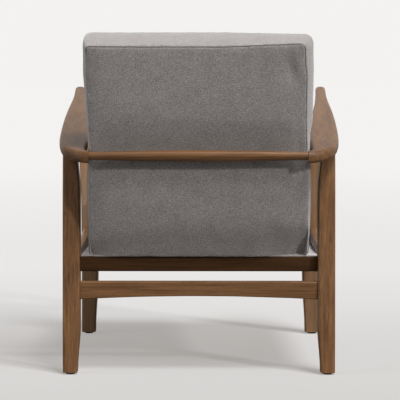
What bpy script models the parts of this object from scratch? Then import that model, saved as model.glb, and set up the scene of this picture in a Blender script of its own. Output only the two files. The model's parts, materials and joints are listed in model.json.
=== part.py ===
"""Open-arm lounge chair with a wooden frame, a loose seat cushion and a buttoned, padded back.

Metres, +Z up. The chair faces -Y, so the sitter's left is +X. The frame is mortised and tenoned:
two raked rear legs and two front legs carry paddle-shaped arms, a rail joins the rear ends of the
arms behind the back pad, and four seat rails hold a webbed deck that sags a little.
"""

import math

import bmesh
import bpy
from mathutils import Vector

# Clearances
JOINT_GAP = 0.0003
SOFT_GAP = 0.0005
CUT_THROUGH = 0.010

# Frame as seen from the front
FRAME_WIDTH = 0.681
LEG_OUTER = FRAME_WIDTH / 2
ARRIS = 0.005
CORNER_STEPS = 3

# Glides
GLIDE_HEIGHT = 0.005
GLIDE_RADIUS = 0.013
GLIDE_PIN_RADIUS = 0.002
GLIDE_PIN_LENGTH = 0.016
GLIDE_SIDES = 20

# Rear legs: the foot is the rearmost point, and the leg rakes forward as it rises
REAR_FOOT_Y = 0.310
REAR_RAKE = math.radians(4.7)
REAR_WIDTH = 0.043
REAR_DEPTH = 0.046
REAR_FOOT_WIDTH = 0.036
REAR_FOOT_DEPTH = 0.036
REAR_TOP_WIDTH = 0.036
REAR_TOP_DEPTH = 0.036
REAR_TAPER_HEIGHT = 0.125
REAR_SHOULDER_HEIGHT = 0.455

# Front legs: upright, with the top third bending outward to the arm
FRONT_LEG_Y = -0.260
FRONT_WIDTH = 0.0461
FRONT_DEPTH = 0.044
FRONT_FOOT_WIDTH = 0.0395
FRONT_FOOT_DEPTH = 0.036
FRONT_FOOT_SPLAY = 0.0015
FRONT_TOP_DEPTH = 0.034
FRONT_TAPER_HEIGHT = 0.170
FRONT_BEND_HEIGHT = 0.365
FRONT_BEND_LENGTH = 0.110

# Arms
ARM_OUTER = 0.3575
ARM_FRONT_Y = -0.283
ARM_FRONT_TOP = 0.713
ARM_REAR_Y = 0.3985
ARM_REAR_TOP = 0.561
ARM_SAG = 0.002
ARM_FRONT_THICKNESS = 0.024
ARM_REAR_THICKNESS = 0.029
ARM_TIP_WIDTH = 0.028
ARM_TIP_CORNER = 0.010
ARM_WAIST = 0.0030
ARM_RIM = 0.0095
ARM_CURVE_STEPS = 4
UNDER_ARM = 0.012
LEG_TENON_HEIGHT = 0.014
LEG_TENON_SHARE = 0.55

# Seat rails. The side rails rise toward the front
SIDE_RAIL_INNER = 0.3125
SIDE_RAIL_THICKNESS = 0.020
SIDE_RAIL_HEIGHT = 0.050
SIDE_RAIL_MIDDLE_TOP = 0.2945
SIDE_RAIL_SLOPE = 0.072
SIDE_RAIL_ARRIS = 0.006
REAR_RAIL_TOP = 0.2935
REAR_RAIL_HEIGHT = 0.0375
REAR_RAIL_THICKNESS = 0.018
REAR_RAIL_REAR_Y = 0.2925
FRONT_RAIL_TOP = 0.2745
FRONT_RAIL_HEIGHT = 0.050
FRONT_RAIL_THICKNESS = 0.024
FRONT_RAIL_SETBACK = 0.005
RAIL_ARRIS = 0.003
TENON_LENGTH = 0.018
TENON_THICKNESS = 0.010
TENON_SHOULDER = 0.006
RABBET_WIDTH = 0.010

# Rear stretcher, arched along its underside
STRETCHER_TOP = 0.2327
STRETCHER_END_HEIGHT = 0.0450
STRETCHER_ARCH = 0.0080
STRETCHER_THICKNESS = 0.020
STRETCHER_BEHIND = 0.0065
STRETCHER_STEPS = 16

# Deck: straps from the front rail to the rear rail under a cloth, sagging between them
DECK_FRONT_TOP = 0.2740
DECK_REAR_TOP = REAR_RAIL_TOP
DECK_DEPTH = 0.005
DECK_SAG = 0.013
DECK_STEPS = 12
STRAP_COUNT = 5
STRAP_WIDTH = 0.050
STRAP_THICKNESS = 0.0022
STRAP_SPAN = 0.500
CLOTH_THICKNESS = 0.0015
CLOTH_SIDE_GAP = 0.0008

# Corner blocks under the deck
BLOCK_LEG = 0.072
FRONT_BLOCK_DROP = 0.0120
REAR_BLOCK_DROP = 0.0190
BLOCK_HEIGHT = 0.016
SCREW_RADIUS = 0.00225
SCREW_HEAD_RADIUS = 0.0045
SCREW_HEAD_LENGTH = 0.004
SCREW_BITE = 0.018
SCREW_SIDES = 10

# Back pad
RECLINE = math.radians(15.2)
PAD_REAR_Y = 0.2979
PAD_REAR_Z = 0.2935
PAD_WIDTH = 0.541
PAD_HEIGHT = 0.5404
PAD_THICKNESS = 0.125
PAD_CORNER = 0.024
PAD_REAR_CROWN = 0.004
PAD_FRONT_CROWN = 0.014
PAD_SIDE_BULGE = 0.003
PAD_TOP_BULGE = 0.006

# The pad is squeezed between the arms, and swells below them and above them
PAD_SWELL_LOW = 0.0035
PAD_SWELL_LOW_END = 0.240
PAD_SWELL_HIGH = 0.0018
PAD_SWELL_HIGH_START = 0.330
PAD_SWELL_RUN = 0.100

# Buttons on the front of the pad, held by twine that runs back to the board
BUTTON_COLUMNS = 3
BUTTON_ROWS = 2
BUTTON_PITCH_ACROSS = 0.160
BUTTON_PITCH_UP = 0.150
BUTTON_LOWEST = 0.245
BUTTON_RADIUS = 0.013
BUTTON_HEIGHT = 0.008
BUTTON_SIDES = 16
TUFT_DEPTH = 0.006
TUFT_FLOOR = 0.0165
TUFT_SPREAD = 0.050
TWINE_RADIUS = 0.0012
TWINE_SIDES = 6

# Board inside the pad, and the two pins that hold the pad on the cross rail
BOARD_WIDTH = 0.460
BOARD_HEIGHT = 0.480
BOARD_THICKNESS = 0.012
BOARD_INSET = 0.022
PIN_RADIUS = 0.004
PIN_IN_RAIL = 0.013
PIN_SPACING = 0.300
PIN_SIDES = 12

# Rail between the rear ends of the arms, thickest in the middle
CROSS_RAIL_Z = 0.5517
CROSS_RAIL_END = 0.266
CROSS_RAIL_HEIGHT = 0.028
CROSS_RAIL_END_HEIGHT = 0.019
CROSS_RAIL_DEPTH = 0.025
CROSS_RAIL_END_DEPTH = 0.020
CROSS_RAIL_STEPS = 14

# Seat cushion
SEAT_WIDTH = 0.544
SEAT_OVERHANG = 0.026
SEAT_RISE = 0.102
SEAT_BACK_GAP = 0.004
SEAT_CORNER = 0.030
SEAT_CROWN = 0.016
SEAT_SIDE_BULGE = 0.007
SEAT_DRAWN_IN = 0.003

# Colours
WALNUT = (0.150, 0.075, 0.035)
GREY_WEAVE = (0.170, 0.155, 0.148)
DECK_GREY = (0.400, 0.380, 0.370)
WEBBING_BLACK = (0.030, 0.028, 0.026)
PLY = (0.480, 0.330, 0.180)
STEEL = (0.550, 0.550, 0.560)
DARK_PLASTIC = (0.030, 0.026, 0.024)


def clear_scene():
    for obj in list(bpy.data.objects):
        bpy.data.objects.remove(obj, do_unlink=True)


def material(name, colour, roughness, metallic=0.0):
    made = bpy.data.materials.new(name)
    made.use_nodes = True
    shader = made.node_tree.nodes["Principled BSDF"]
    shader.inputs["Base Color"].default_value = (*colour, 1.0)
    shader.inputs["Roughness"].default_value = roughness
    shader.inputs["Metallic"].default_value = metallic
    made.diffuse_color = (*colour, 1.0)
    return made


def add_piece(name, bm, finish, anchor):
    """Makes an object of bm, which is drawn in the chair's frame, with its origin at anchor."""
    bmesh.ops.recalc_face_normals(bm, faces=bm.faces)
    bmesh.ops.translate(bm, verts=bm.verts, vec=-Vector(anchor))
    mesh = bpy.data.meshes.new(name)
    bm.to_mesh(mesh)
    bm.free()
    mesh.materials.append(finish)
    piece = bpy.data.objects.new(name, mesh)
    bpy.context.scene.collection.objects.link(piece)
    piece.location = anchor
    piece.parent = bpy.data.objects["chair"]
    return piece


def cut(piece, bm, name):
    """Cuts the closed mesh bm, drawn in the chair's frame, out of the piece."""
    cutter = add_piece(f"cut_{name}", bm, piece.data.materials[0], (0, 0, 0))
    cutter.hide_render = True
    cutter.display_type = "WIRE"
    difference = piece.modifiers.new(name, "BOOLEAN")
    difference.operation = "DIFFERENCE"
    difference.solver = "EXACT"
    difference.object = cutter


def loft(rings):
    """A closed skin over rings of the same number of points, capped at both ends."""
    bm = bmesh.new()
    rows = []
    for ring in rings:
        rows.append([bm.verts.new(point) for point in ring])
    count = len(rows[0])
    for low, high in zip(rows, rows[1:]):
        for i in range(count):
            j = (i + 1) % count
            bm.faces.new((low[i], low[j], high[j], high[i]))
    bm.faces.new(rows[0][::-1])
    bm.faces.new(rows[-1])
    return bm


def rounded_rectangle(half_a, half_b, radius):
    """Points round a rectangle with rounded corners, in its own plane."""
    points = []
    centres = ((1, 1, 0), (-1, 1, 90), (-1, -1, 180), (1, -1, 270))
    for sign_a, sign_b, start in centres:
        for step in range(CORNER_STEPS + 1):
            angle = math.radians(start + 90 * step / CORNER_STEPS)
            a = sign_a * (half_a - radius) + radius * math.cos(angle)
            b = sign_b * (half_b - radius) + radius * math.sin(angle)
            points.append((a, b))
    return points


def box(low, high):
    bm = bmesh.new()
    made = bmesh.ops.create_cube(bm, size=1.0)
    for vert in made["verts"]:
        for axis in range(3):
            share = vert.co[axis] + 0.5
            vert.co[axis] = low[axis] + share * (high[axis] - low[axis])
    return bm


def grown(low, high, gap):
    return [value - gap for value in low], [value + gap for value in high]


def rod(start, end, radius, sides):
    """A straight round bar between two points."""
    start = Vector(start)
    end = Vector(end)
    along = (end - start).normalized()
    turn = Vector((0, 0, 1)).rotation_difference(along)
    rings = []
    for centre in (start, end):
        ring = []
        for i in range(sides):
            angle = 2 * math.pi * i / sides
            spoke = Vector((math.cos(angle), math.sin(angle), 0)) * radius
            ring.append(centre + turn @ spoke)
        rings.append(ring)
    return loft(rings)


def turned(start, along, profile, sides):
    """A turned solid: profile lists (distance along the axis, radius) from start."""
    start = Vector(start)
    turn = Vector((0, 0, 1)).rotation_difference(Vector(along).normalized())
    rings = []
    for distance, radius in profile:
        ring = []
        for i in range(sides):
            angle = 2 * math.pi * i / sides
            spoke = Vector((radius * math.cos(angle), radius * math.sin(angle), distance))
            ring.append(start + turn @ spoke)
        rings.append(ring)
    return loft(rings)


def blend(share):
    """Smooth step from 0 to 1."""
    share = min(1.0, max(0.0, share))
    return share * share * (3 - 2 * share)


def hole_radius(radius, sides):
    """Radius of a polygonal hole whose flats clear a polygonal bar by the joint gap."""
    return (radius + JOINT_GAP) / math.cos(math.pi / sides)


# Arms: height of the top and underside along Y


def arm_share(y):
    return (y - ARM_FRONT_Y) / (ARM_REAR_Y - ARM_FRONT_Y)


def arm_top(y):
    share = arm_share(y)
    chord = ARM_FRONT_TOP + share * (ARM_REAR_TOP - ARM_FRONT_TOP)
    return chord - 4 * ARM_SAG * share * (1 - share)


def arm_thickness(y):
    return ARM_FRONT_THICKNESS + arm_share(y) * (ARM_REAR_THICKNESS - ARM_FRONT_THICKNESS)


def arm_under(y):
    return arm_top(y) - arm_thickness(y)


# Seat: heights along Y


def side_rail_top(y):
    return SIDE_RAIL_MIDDLE_TOP - SIDE_RAIL_SLOPE * y


def front_rail_front_y():
    return FRONT_LEG_Y - FRONT_DEPTH / 2 + FRONT_RAIL_SETBACK


def front_rail_rear_y():
    return front_rail_front_y() + FRONT_RAIL_THICKNESS


def rear_rail_front_y():
    return REAR_RAIL_REAR_Y - REAR_RAIL_THICKNESS


def deck_top(y):
    """Height of the cloth's upper side, which hangs in a shallow curve between the rails."""
    front = front_rail_rear_y()
    share = min(1.0, max(0.0, (y - front) / (rear_rail_front_y() - front)))
    hang = 4 * DECK_SAG * share * (1 - share)
    return DECK_FRONT_TOP + share * (DECK_REAR_TOP - DECK_FRONT_TOP) - hang


# Legs


def rear_leg_y(z):
    return REAR_FOOT_Y - (z - GLIDE_HEIGHT) * math.tan(REAR_RAKE)


def rear_leg_size(z):
    """Width and depth of a rear leg at a height."""
    foot = blend((z - GLIDE_HEIGHT) / (REAR_TAPER_HEIGHT - GLIDE_HEIGHT))
    width = REAR_FOOT_WIDTH + foot * (REAR_WIDTH - REAR_FOOT_WIDTH)
    depth = REAR_FOOT_DEPTH + foot * (REAR_DEPTH - REAR_FOOT_DEPTH)
    top = blend((z - REAR_SHOULDER_HEIGHT) / (arm_under(rear_leg_y(z)) - REAR_SHOULDER_HEIGHT))
    width += top * (REAR_TOP_WIDTH - REAR_WIDTH)
    depth += top * (REAR_TOP_DEPTH - REAR_DEPTH)
    return width, depth


def front_leg_top():
    return arm_under(FRONT_LEG_Y)


def front_leg_outer(z):
    """Outer face of a front leg: upright, then bending out and running straight to the arm."""
    splay = FRONT_FOOT_SPLAY * (1 - blend((z - GLIDE_HEIGHT) / FRONT_TAPER_HEIGHT))
    reach = ARM_OUTER - LEG_OUTER
    straight = front_leg_top() - FRONT_BEND_HEIGHT - FRONT_BEND_LENGTH / 2
    slope = reach / straight
    above = z - FRONT_BEND_HEIGHT
    if above <= 0:
        return LEG_OUTER + splay
    if above < FRONT_BEND_LENGTH:
        return LEG_OUTER + slope * above * above / (2 * FRONT_BEND_LENGTH)
    return LEG_OUTER + slope * (above - FRONT_BEND_LENGTH / 2)


def front_leg_size(z):
    foot = blend((z - GLIDE_HEIGHT) / (FRONT_TAPER_HEIGHT - GLIDE_HEIGHT))
    width = FRONT_FOOT_WIDTH + foot * (FRONT_WIDTH - FRONT_FOOT_WIDTH)
    depth = FRONT_FOOT_DEPTH + foot * (FRONT_DEPTH - FRONT_FOOT_DEPTH)
    rise = blend((z - FRONT_BEND_HEIGHT) / (front_leg_top() - FRONT_BEND_HEIGHT))
    width += rise * (ARM_TIP_WIDTH - FRONT_WIDTH)
    depth += rise * (FRONT_TOP_DEPTH - FRONT_DEPTH)
    return width, depth


def leg_ring(side, outer, width, centre_y, depth, z, under_arm=False, share=1.0):
    """A ring round a leg. Under the arm, each point takes the height of the arm's underside."""
    centre_x = outer - width / 2
    radius = min(ARRIS, 0.4 * share * min(width, depth))
    ring = []
    for a, b in rounded_rectangle(share * width / 2, share * depth / 2, radius):
        y = centre_y + b
        height = arm_under(y) - JOINT_GAP if under_arm else z
        ring.append(Vector((side * (centre_x + a), y, height)))
    return ring


def leg_rings(side, heights, outer_at, size_at, y_at, top_y):
    """Rings from the foot to the arm, and on up the tenon that stands in the arm."""
    rings = []
    for z in heights:
        width, depth = size_at(z)
        rings.append(leg_ring(side, outer_at(z), width, y_at(z), depth, z))
    top = arm_under(top_y)
    width, depth = size_at(top)
    outer = outer_at(top)
    rings.append(leg_ring(side, outer, width, top_y, depth, top, under_arm=True))
    share = LEG_TENON_SHARE
    inset = width * (1 - share) / 2
    for under_arm, z in ((True, top), (False, top + LEG_TENON_HEIGHT)):
        ring = leg_ring(side, outer, width, top_y, depth, z, under_arm, share)
        rings.append(ring)
    centre = Vector((side * (outer - width / 2), top_y, top))
    reach = Vector((width / 2 - inset, share * depth / 2, LEG_TENON_HEIGHT))
    low = centre - Vector((reach.x, reach.y, LEG_TENON_HEIGHT))
    return rings, (low, centre + reach)


def heights_between(knots, steps):
    """Heights from knot to knot, each stretch in the given number of steps."""
    heights = []
    for (low, high), count in zip(zip(knots, knots[1:]), steps):
        heights += [low + (high - low) * i / count for i in range(count)]
    return heights


def rear_leg_top_y():
    """Where the raked centre line of a rear leg meets the arm's underside."""
    z = REAR_SHOULDER_HEIGHT
    for _ in range(20):
        z = arm_under(rear_leg_y(z))
    return rear_leg_y(z)


def build_leg(name, rings, foot, finish):
    leg = add_piece(name, loft(rings), finish, (foot[0], foot[1], GLIDE_HEIGHT))
    pin_top = (foot[0], foot[1], GLIDE_HEIGHT + GLIDE_PIN_LENGTH + JOINT_GAP)
    pin_low = (foot[0], foot[1], 0)
    radius = hole_radius(GLIDE_PIN_RADIUS, GLIDE_SIDES)
    cut(leg, rod(pin_low, pin_top, radius, GLIDE_SIDES), f"pin_hole_{name}")
    return leg


def build_glide(name, foot, finish):
    """A round glide with a pin driven into the foot."""
    head = GLIDE_HEIGHT - JOINT_GAP
    profile = [
        (0.0, GLIDE_RADIUS - 0.001),
        (0.001, GLIDE_RADIUS),
        (head, GLIDE_RADIUS),
        (head, GLIDE_PIN_RADIUS),
        (head + GLIDE_PIN_LENGTH, GLIDE_PIN_RADIUS),
    ]
    start = (foot[0], foot[1], 0)
    return add_piece(name, turned(start, (0, 0, 1), profile, GLIDE_SIDES), finish, start)


# Arms


def smooth_run(points, steps):
    """A Catmull-Rom curve through the points, with its ends included."""
    points = [Vector(point) for point in points]
    padded = [2 * points[0] - points[1], *points, 2 * points[-1] - points[-2]]
    run = []
    for a, b, c, d in zip(padded, padded[1:], padded[2:], padded[3:]):
        for step in range(steps):
            t = step / steps
            bend = 2 * a - 5 * b + 4 * c - d
            twist = -a + 3 * b - 3 * c + d
            run.append((2 * b + (c - a) * t + bend * t * t + twist * t * t * t) / 2)
    run.append(points[-1])
    return run


def arm_edges():
    """Matching points along the arm's outer and inner edges from above, from the tip's corner
    round to the end that meets the cross rail. Each is (|x|, y)."""
    tip_y = ARM_FRONT_Y + ARM_TIP_CORNER
    tip_inner = ARM_OUTER - ARM_TIP_WIDTH
    end_x = CROSS_RAIL_END
    end_y = ARM_REAR_Y
    clear_x = pad_clear_x()
    elbow_y = arm_elbow_y()
    end_inner_y = end_y - CROSS_RAIL_END_DEPTH / math.cos(RECLINE)
    width = ARM_OUTER - end_x
    outer = [
        (ARM_OUTER, tip_y),
        (ARM_OUTER - ARM_WAIST, tip_y + 0.105),
        (ARM_OUTER, tip_y + 0.240),
        (ARM_OUTER, tip_y + 0.353),
        (ARM_OUTER - 0.04 * width, end_y - 0.198),
        (ARM_OUTER - 0.11 * width, end_y - 0.115),
        (ARM_OUTER - 0.27 * width, end_y - 0.055),
        (ARM_OUTER - 0.54 * width, end_y - 0.022),
        (ARM_OUTER - 0.79 * width, end_y - 0.005),
        (end_x, end_y),
    ]
    inner = [
        (tip_inner, tip_y),
        (tip_inner - 0.0080, tip_y + 0.113),
        (tip_inner - 0.0242, tip_y + 0.240),
        (tip_inner - 0.0360, tip_y + 0.353),
        (clear_x + 0.0075, end_y - 0.208),
        (clear_x + 0.0030, end_y - 0.133),
        (clear_x + 0.0005, elbow_y - 0.034),
        (clear_x, elbow_y - 0.008),
        (clear_x - 0.0040, (elbow_y + end_inner_y) / 2),
        (end_x, end_inner_y),
    ]
    return smooth_run(outer, ARM_CURVE_STEPS), smooth_run(inner, ARM_CURVE_STEPS)


def pad_clear_x():
    """How far out the arm stays from the pad's bulging side."""
    return PAD_WIDTH / 2 + PAD_SIDE_BULGE + 0.002


def arm_elbow_y():
    """The arm turns in behind the pad only past the pad's rear face."""
    return pad_point(0, cross_rail_on_pad()[0], 0).y - 0.001


def arm_ring(side, outer, inner, inset_across, inset_up):
    """A rounded section of the arm between a point on each edge."""
    across = outer - inner
    half = across.length / 2
    middle = (outer + inner) / 2
    along = across.normalized()
    half_height = arm_thickness(middle.y) / 2
    radius = min(ARM_RIM, 0.9 * (half - inset_across), 0.9 * (half_height - inset_up))
    ring = []
    for a, b in rounded_rectangle(half - inset_across, half_height - inset_up, radius):
        x, y = middle + along * a
        ring.append(Vector((side * x, y, arm_top(y) - half_height + b)))
    return ring


def build_arm(name, side, tenons, finish):
    outer, inner = arm_edges()
    rings = []
    for degrees in (78, 52, 26):
        angle = math.radians(degrees)
        ahead = Vector((0, -ARM_TIP_CORNER * math.sin(angle)))
        inset = ARM_TIP_CORNER * (1 - math.cos(angle))
        rings.append(arm_ring(side, outer[0] + ahead, inner[0] + ahead, inset, 0.8 * inset))
    for outer_point, inner_point in zip(outer, inner):
        rings.append(arm_ring(side, outer_point, inner_point, 0, 0))
    arm = add_piece(name, loft(rings), finish, (side * ARM_OUTER, 0, ARM_REAR_TOP))
    for label, (low_corner, high_corner) in tenons.items():
        cut(arm, box(*grown(low_corner, high_corner, JOINT_GAP)), f"{label}_{name}")
    return arm


# Rails and stretcher


def across_rail_rings(inner_left, inner_right, front, rear, bottom_at, top_at, steps):
    """Rings of a rail that runs across the chair, with a tenon at each end."""
    middle_y = (front + rear) / 2
    stations = [inner_right + (inner_left - inner_right) * i / steps for i in range(steps + 1)]
    rings = []
    for x in stations:
        rings.append(rail_ring_x(x, middle_y, rear - front, bottom_at(x), top_at(x), RAIL_ARRIS))
    tenons = []
    for x, sign in ((stations[0], -1), (stations[-1], 1)):
        low = bottom_at(x) + TENON_SHOULDER
        high = top_at(x) - TENON_SHOULDER
        tip = x + sign * TENON_LENGTH
        pair = [
            rail_ring_x(tip, middle_y, TENON_THICKNESS, low, high, RAIL_ARRIS / 2),
            rail_ring_x(x, middle_y, TENON_THICKNESS, low, high, RAIL_ARRIS / 2),
        ]
        half = TENON_THICKNESS / 2
        reach = sorted((x - sign * TENON_LENGTH, tip))
        corner = (reach[0], middle_y - half, low), (reach[1], middle_y + half, high)
        tenons.append(corner)
        rings = pair + rings if sign < 0 else rings + pair[::-1]
    return rings, tenons


def stretcher_bottom(share):
    """Height of the arched underside, by the share of the way from the middle to an end."""
    return STRETCHER_TOP - STRETCHER_END_HEIGHT + STRETCHER_ARCH * (1 - share * share)


def rail_ring_x(x, middle_y, thickness, low, high, radius):
    """A rounded section across the X direction."""
    middle = (low + high) / 2
    ring = []
    for a, b in rounded_rectangle(thickness / 2, (high - low) / 2, radius):
        ring.append(Vector((x, middle_y + a, middle + b)))
    return ring


def rabbet_cutter(inner_y, outward, deck, half_width):
    """Cuts the step along a rail's inner top edge in which the straps and the cloth lie."""
    ys = sorted((inner_y - outward * CUT_THROUGH, inner_y + outward * RABBET_WIDTH))
    low = (-half_width, ys[0], deck - DECK_DEPTH)
    high = (half_width, ys[1], REAR_RAIL_TOP + CUT_THROUGH)
    return box(low, high)


def build_side_rail(name, side, finish):
    """A side rail from the front leg's rear face to the rear leg's raked front face."""
    front_y = FRONT_LEG_Y + FRONT_DEPTH / 2 + JOINT_GAP
    inner = SIDE_RAIL_INNER
    middle_x = inner + SIDE_RAIL_THICKNESS / 2

    def rear_face(z):
        return rear_leg_y(z) - REAR_DEPTH / 2 - JOINT_GAP

    def ring(y_at, thickness, low, high, radius):
        middle = (low + high) / 2
        points = []
        for a, b in rounded_rectangle(thickness / 2, (high - low) / 2, radius):
            z = middle + b
            points.append(Vector((side * (middle_x + a), y_at(z), z)))
        return points

    def span_at(y):
        top = side_rail_top(y)
        return top - SIDE_RAIL_HEIGHT, top

    rear_y = rear_face(side_rail_top(REAR_FOOT_Y))
    front_span = span_at(front_y)
    rear_span = span_at(rear_y)
    tenons = {}
    rings = []
    for label, span, y, reach, face in (
        ("front", front_span, front_y, -TENON_LENGTH, lambda z: front_y),
        ("rear", rear_span, rear_y, TENON_LENGTH, rear_face),
    ):
        low = span[0] + TENON_SHOULDER
        high = span[1] - TENON_SHOULDER
        tip = y + reach
        tenon = [
            ring(lambda z, tip=tip: tip, TENON_THICKNESS, low, high, RAIL_ARRIS / 2),
            ring(face, TENON_THICKNESS, low, high, RAIL_ARRIS / 2),
            ring(face, SIDE_RAIL_THICKNESS, *span, SIDE_RAIL_ARRIS),
        ]
        rings += tenon if label == "front" else tenon[::-1]
        ys = sorted((y - reach, tip))
        half = TENON_THICKNESS / 2
        xs = sorted((side * (middle_x - half), side * (middle_x + half)))
        tenons[label] = ((xs[0], ys[0], low), (xs[1], ys[1], high))
    middle_y = (front_y + rear_y) / 2
    anchor = (side * middle_x, middle_y, side_rail_top(middle_y))
    return add_piece(name, loft(rings), finish, anchor), tenons


# Deck


def ribbon(ys, halves, top_at, thickness, centre_x):
    """A strip along Y whose upper side follows top_at. Two knots at one y make a step in width."""
    rings = []
    for y, half in zip(ys, halves):
        top = top_at(y)
        rings.append(
            [
                Vector((centre_x - half, y, top - thickness)),
                Vector((centre_x + half, y, top - thickness)),
                Vector((centre_x + half, y, top)),
                Vector((centre_x - half, y, top)),
            ]
        )
    return loft(rings)


def deck_knots():
    """Where the straps and the cloth bend: the ends in the rabbets, then the rails' faces, and
    the run between the legs."""
    front_face = front_rail_rear_y()
    rear_face = rear_rail_front_y()
    front = [front_face - RABBET_WIDTH + JOINT_GAP, front_face]
    rear = [rear_face, rear_face + RABBET_WIDTH - JOINT_GAP]
    start = FRONT_LEG_Y + FRONT_DEPTH / 2 + CLOTH_SIDE_GAP
    end = rear_leg_y(REAR_RAIL_TOP) - REAR_DEPTH / 2 - CLOTH_SIDE_GAP
    middle = [start + (end - start) * i / DECK_STEPS for i in range(DECK_STEPS + 1)]
    return front, middle, rear


def strap_top(y):
    return deck_top(y) - CLOTH_THICKNESS - JOINT_GAP


def build_straps(finish):
    front, middle, rear = deck_knots()
    ys = front + middle + rear
    pitch = (STRAP_SPAN - STRAP_WIDTH) / (STRAP_COUNT - 1)
    for i in range(STRAP_COUNT):
        x = (i - (STRAP_COUNT - 1) / 2) * pitch
        halves = [STRAP_WIDTH / 2] * len(ys)
        strip = ribbon(ys, halves, strap_top, STRAP_THICKNESS, x)
        add_piece(f"seat_strap_{i + 1}", strip, finish, (x, 0, strap_top(0)))


def build_deck_cloth(finish):
    """The cloth over the straps, narrower where it passes between the legs."""
    front, middle, rear = deck_knots()
    ys = [*front, middle[0], *middle, middle[-1], *rear]
    narrow_front = LEG_OUTER - FRONT_WIDTH - CLOTH_SIDE_GAP
    narrow_rear = LEG_OUTER - REAR_WIDTH - CLOTH_SIDE_GAP
    wide = SIDE_RAIL_INNER - CLOTH_SIDE_GAP
    halves = [narrow_front] * 3 + [wide] * len(middle) + [narrow_rear] * 3
    strip = ribbon(ys, halves, deck_top, CLOTH_THICKNESS, 0)
    return add_piece("deck_cloth", strip, finish, (0, 0, deck_top(0)))


def block_top(end):
    if end == "rear":
        return DECK_REAR_TOP - REAR_BLOCK_DROP
    return DECK_FRONT_TOP - FRONT_BLOCK_DROP


def build_corner_block(end, side, wood, steel):
    """A triangular block in a corner of the seat frame, notched for the leg, and its screw."""
    if end == "rear":
        toward = 1
        leg_face = rear_leg_y(block_top(end)) - REAR_DEPTH / 2
        leg_inner = LEG_OUTER - REAR_WIDTH
        rail_face = rear_rail_front_y()
    else:
        toward = -1
        leg_face = FRONT_LEG_Y + FRONT_DEPTH / 2
        leg_inner = LEG_OUTER - FRONT_WIDTH
        rail_face = front_rail_rear_y()
    rail_y = rail_face - toward * JOINT_GAP
    leg_y = leg_face - toward * JOINT_GAP
    leg_x = leg_inner - JOINT_GAP
    side_x = SIDE_RAIL_INNER - JOINT_GAP
    corner = Vector((leg_x, leg_y))
    reach = BLOCK_LEG
    far_y = corner.y - toward * reach + toward * (side_x - leg_x)
    near_x = corner.x - reach + abs(rail_y - leg_y)
    outline = [
        (side_x, far_y),
        (side_x, leg_y),
        (leg_x, leg_y),
        (leg_x, rail_y),
        (near_x, rail_y),
    ]
    rings = []
    for z in (block_top(end) - BLOCK_HEIGHT, block_top(end)):
        rings.append([Vector((side * x, y, z)) for x, y in outline])
    name = f"{end}_corner_block_{'left' if side > 0 else 'right'}"
    block = add_piece(name, loft(rings), wood, (side * leg_x, leg_y, block_top(end)))

    middle = Vector(((side_x + near_x) / 2, (far_y + rail_y) / 2))
    inward = Vector((1, toward)).normalized()
    depth = (corner - middle).dot(inward)
    z = block_top(end) - BLOCK_HEIGHT / 2
    start = middle + inward * 0.0005
    length = depth + SCREW_BITE
    axis = Vector((side * inward.x, inward.y, 0))
    origin = Vector((side * start.x, start.y, z))
    profile = [
        (0.0, SCREW_HEAD_RADIUS),
        (SCREW_HEAD_LENGTH, SCREW_RADIUS),
        (length - 0.006, SCREW_RADIUS),
        (length, SCREW_RADIUS / 3),
    ]
    screw_name = name.replace("corner_block", "block_screw")
    add_piece(screw_name, turned(origin, axis, profile, SCREW_SIDES), steel, origin)
    clear = hole_radius(SCREW_RADIUS, SCREW_SIDES)
    clear_head = hole_radius(SCREW_HEAD_RADIUS, SCREW_SIDES)
    hole = [
        (-0.004, clear_head),
        (JOINT_GAP, clear_head),
        (SCREW_HEAD_LENGTH + JOINT_GAP, clear),
        (length + JOINT_GAP, clear),
    ]
    cut(block, turned(origin, axis, hole, SCREW_SIDES), f"hole_{screw_name}")
    return turned(origin, axis, hole, SCREW_SIDES), f"leg_{screw_name}"


# Back pad: u across, s up the pad's rear face, w forward from that face


def pad_point(u, s, w):
    lean = Vector((0, math.sin(RECLINE), math.cos(RECLINE)))
    forward = Vector((0, -math.cos(RECLINE), math.sin(RECLINE)))
    corner = Vector((0, PAD_REAR_Y, PAD_REAR_Z))
    return corner + Vector((u, 0, 0)) + lean * s + forward * w


def pad_front_y(z):
    """Where the flat of the pad's front face stands at a height."""
    lean = (z - PAD_REAR_Z) * math.tan(RECLINE)
    return PAD_REAR_Y + lean - PAD_THICKNESS / math.cos(RECLINE)


def pad_settled(s, w):
    """Slides a point down the pad so that the pad's foot lies on the deck."""
    drop = 0.0
    for _ in range(12):
        foot = pad_point(0, -drop, w)
        drop += foot.z - deck_top(foot.y) - SOFT_GAP
    return s - drop * (1 - s / PAD_HEIGHT)


def pad_depth_over(y):
    """How far forward from the pad's rear face its underside passes a place along the chair."""
    w = 0.0
    for _ in range(30):
        w += (pad_point(0, pad_settled(0, w), w).y - y) / math.cos(RECLINE)
    return w


def cross_rail_on_pad():
    """The middle of the cross rail, as (s, w) on the pad's rear face."""
    w = -PAD_REAR_CROWN - SOFT_GAP - CROSS_RAIL_DEPTH / 2
    rise = CROSS_RAIL_Z - PAD_REAR_Z - w * math.sin(RECLINE)
    return rise / math.cos(RECLINE), w


def box_grid(us, vs, ws):
    """A closed box whose faces are gridded at the given coordinates."""
    bm = bmesh.new()
    verts = {}

    def vert(i, j, k):
        if (i, j, k) not in verts:
            verts[(i, j, k)] = bm.verts.new((us[i], vs[j], ws[k]))
        return verts[(i, j, k)]

    last = (len(us) - 1, len(vs) - 1, len(ws) - 1)
    for axis in range(3):
        one, two = [other for other in range(3) if other != axis]
        for level in (0, last[axis]):
            for a in range(last[one]):
                for b in range(last[two]):
                    corners = []
                    for da, db in ((0, 0), (1, 0), (1, 1), (0, 1)):
                        index = [0, 0, 0]
                        index[axis] = level
                        index[one] = a + da
                        index[two] = b + db
                        corners.append(vert(*index))
                    bm.faces.new(corners)
    return bm


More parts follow.
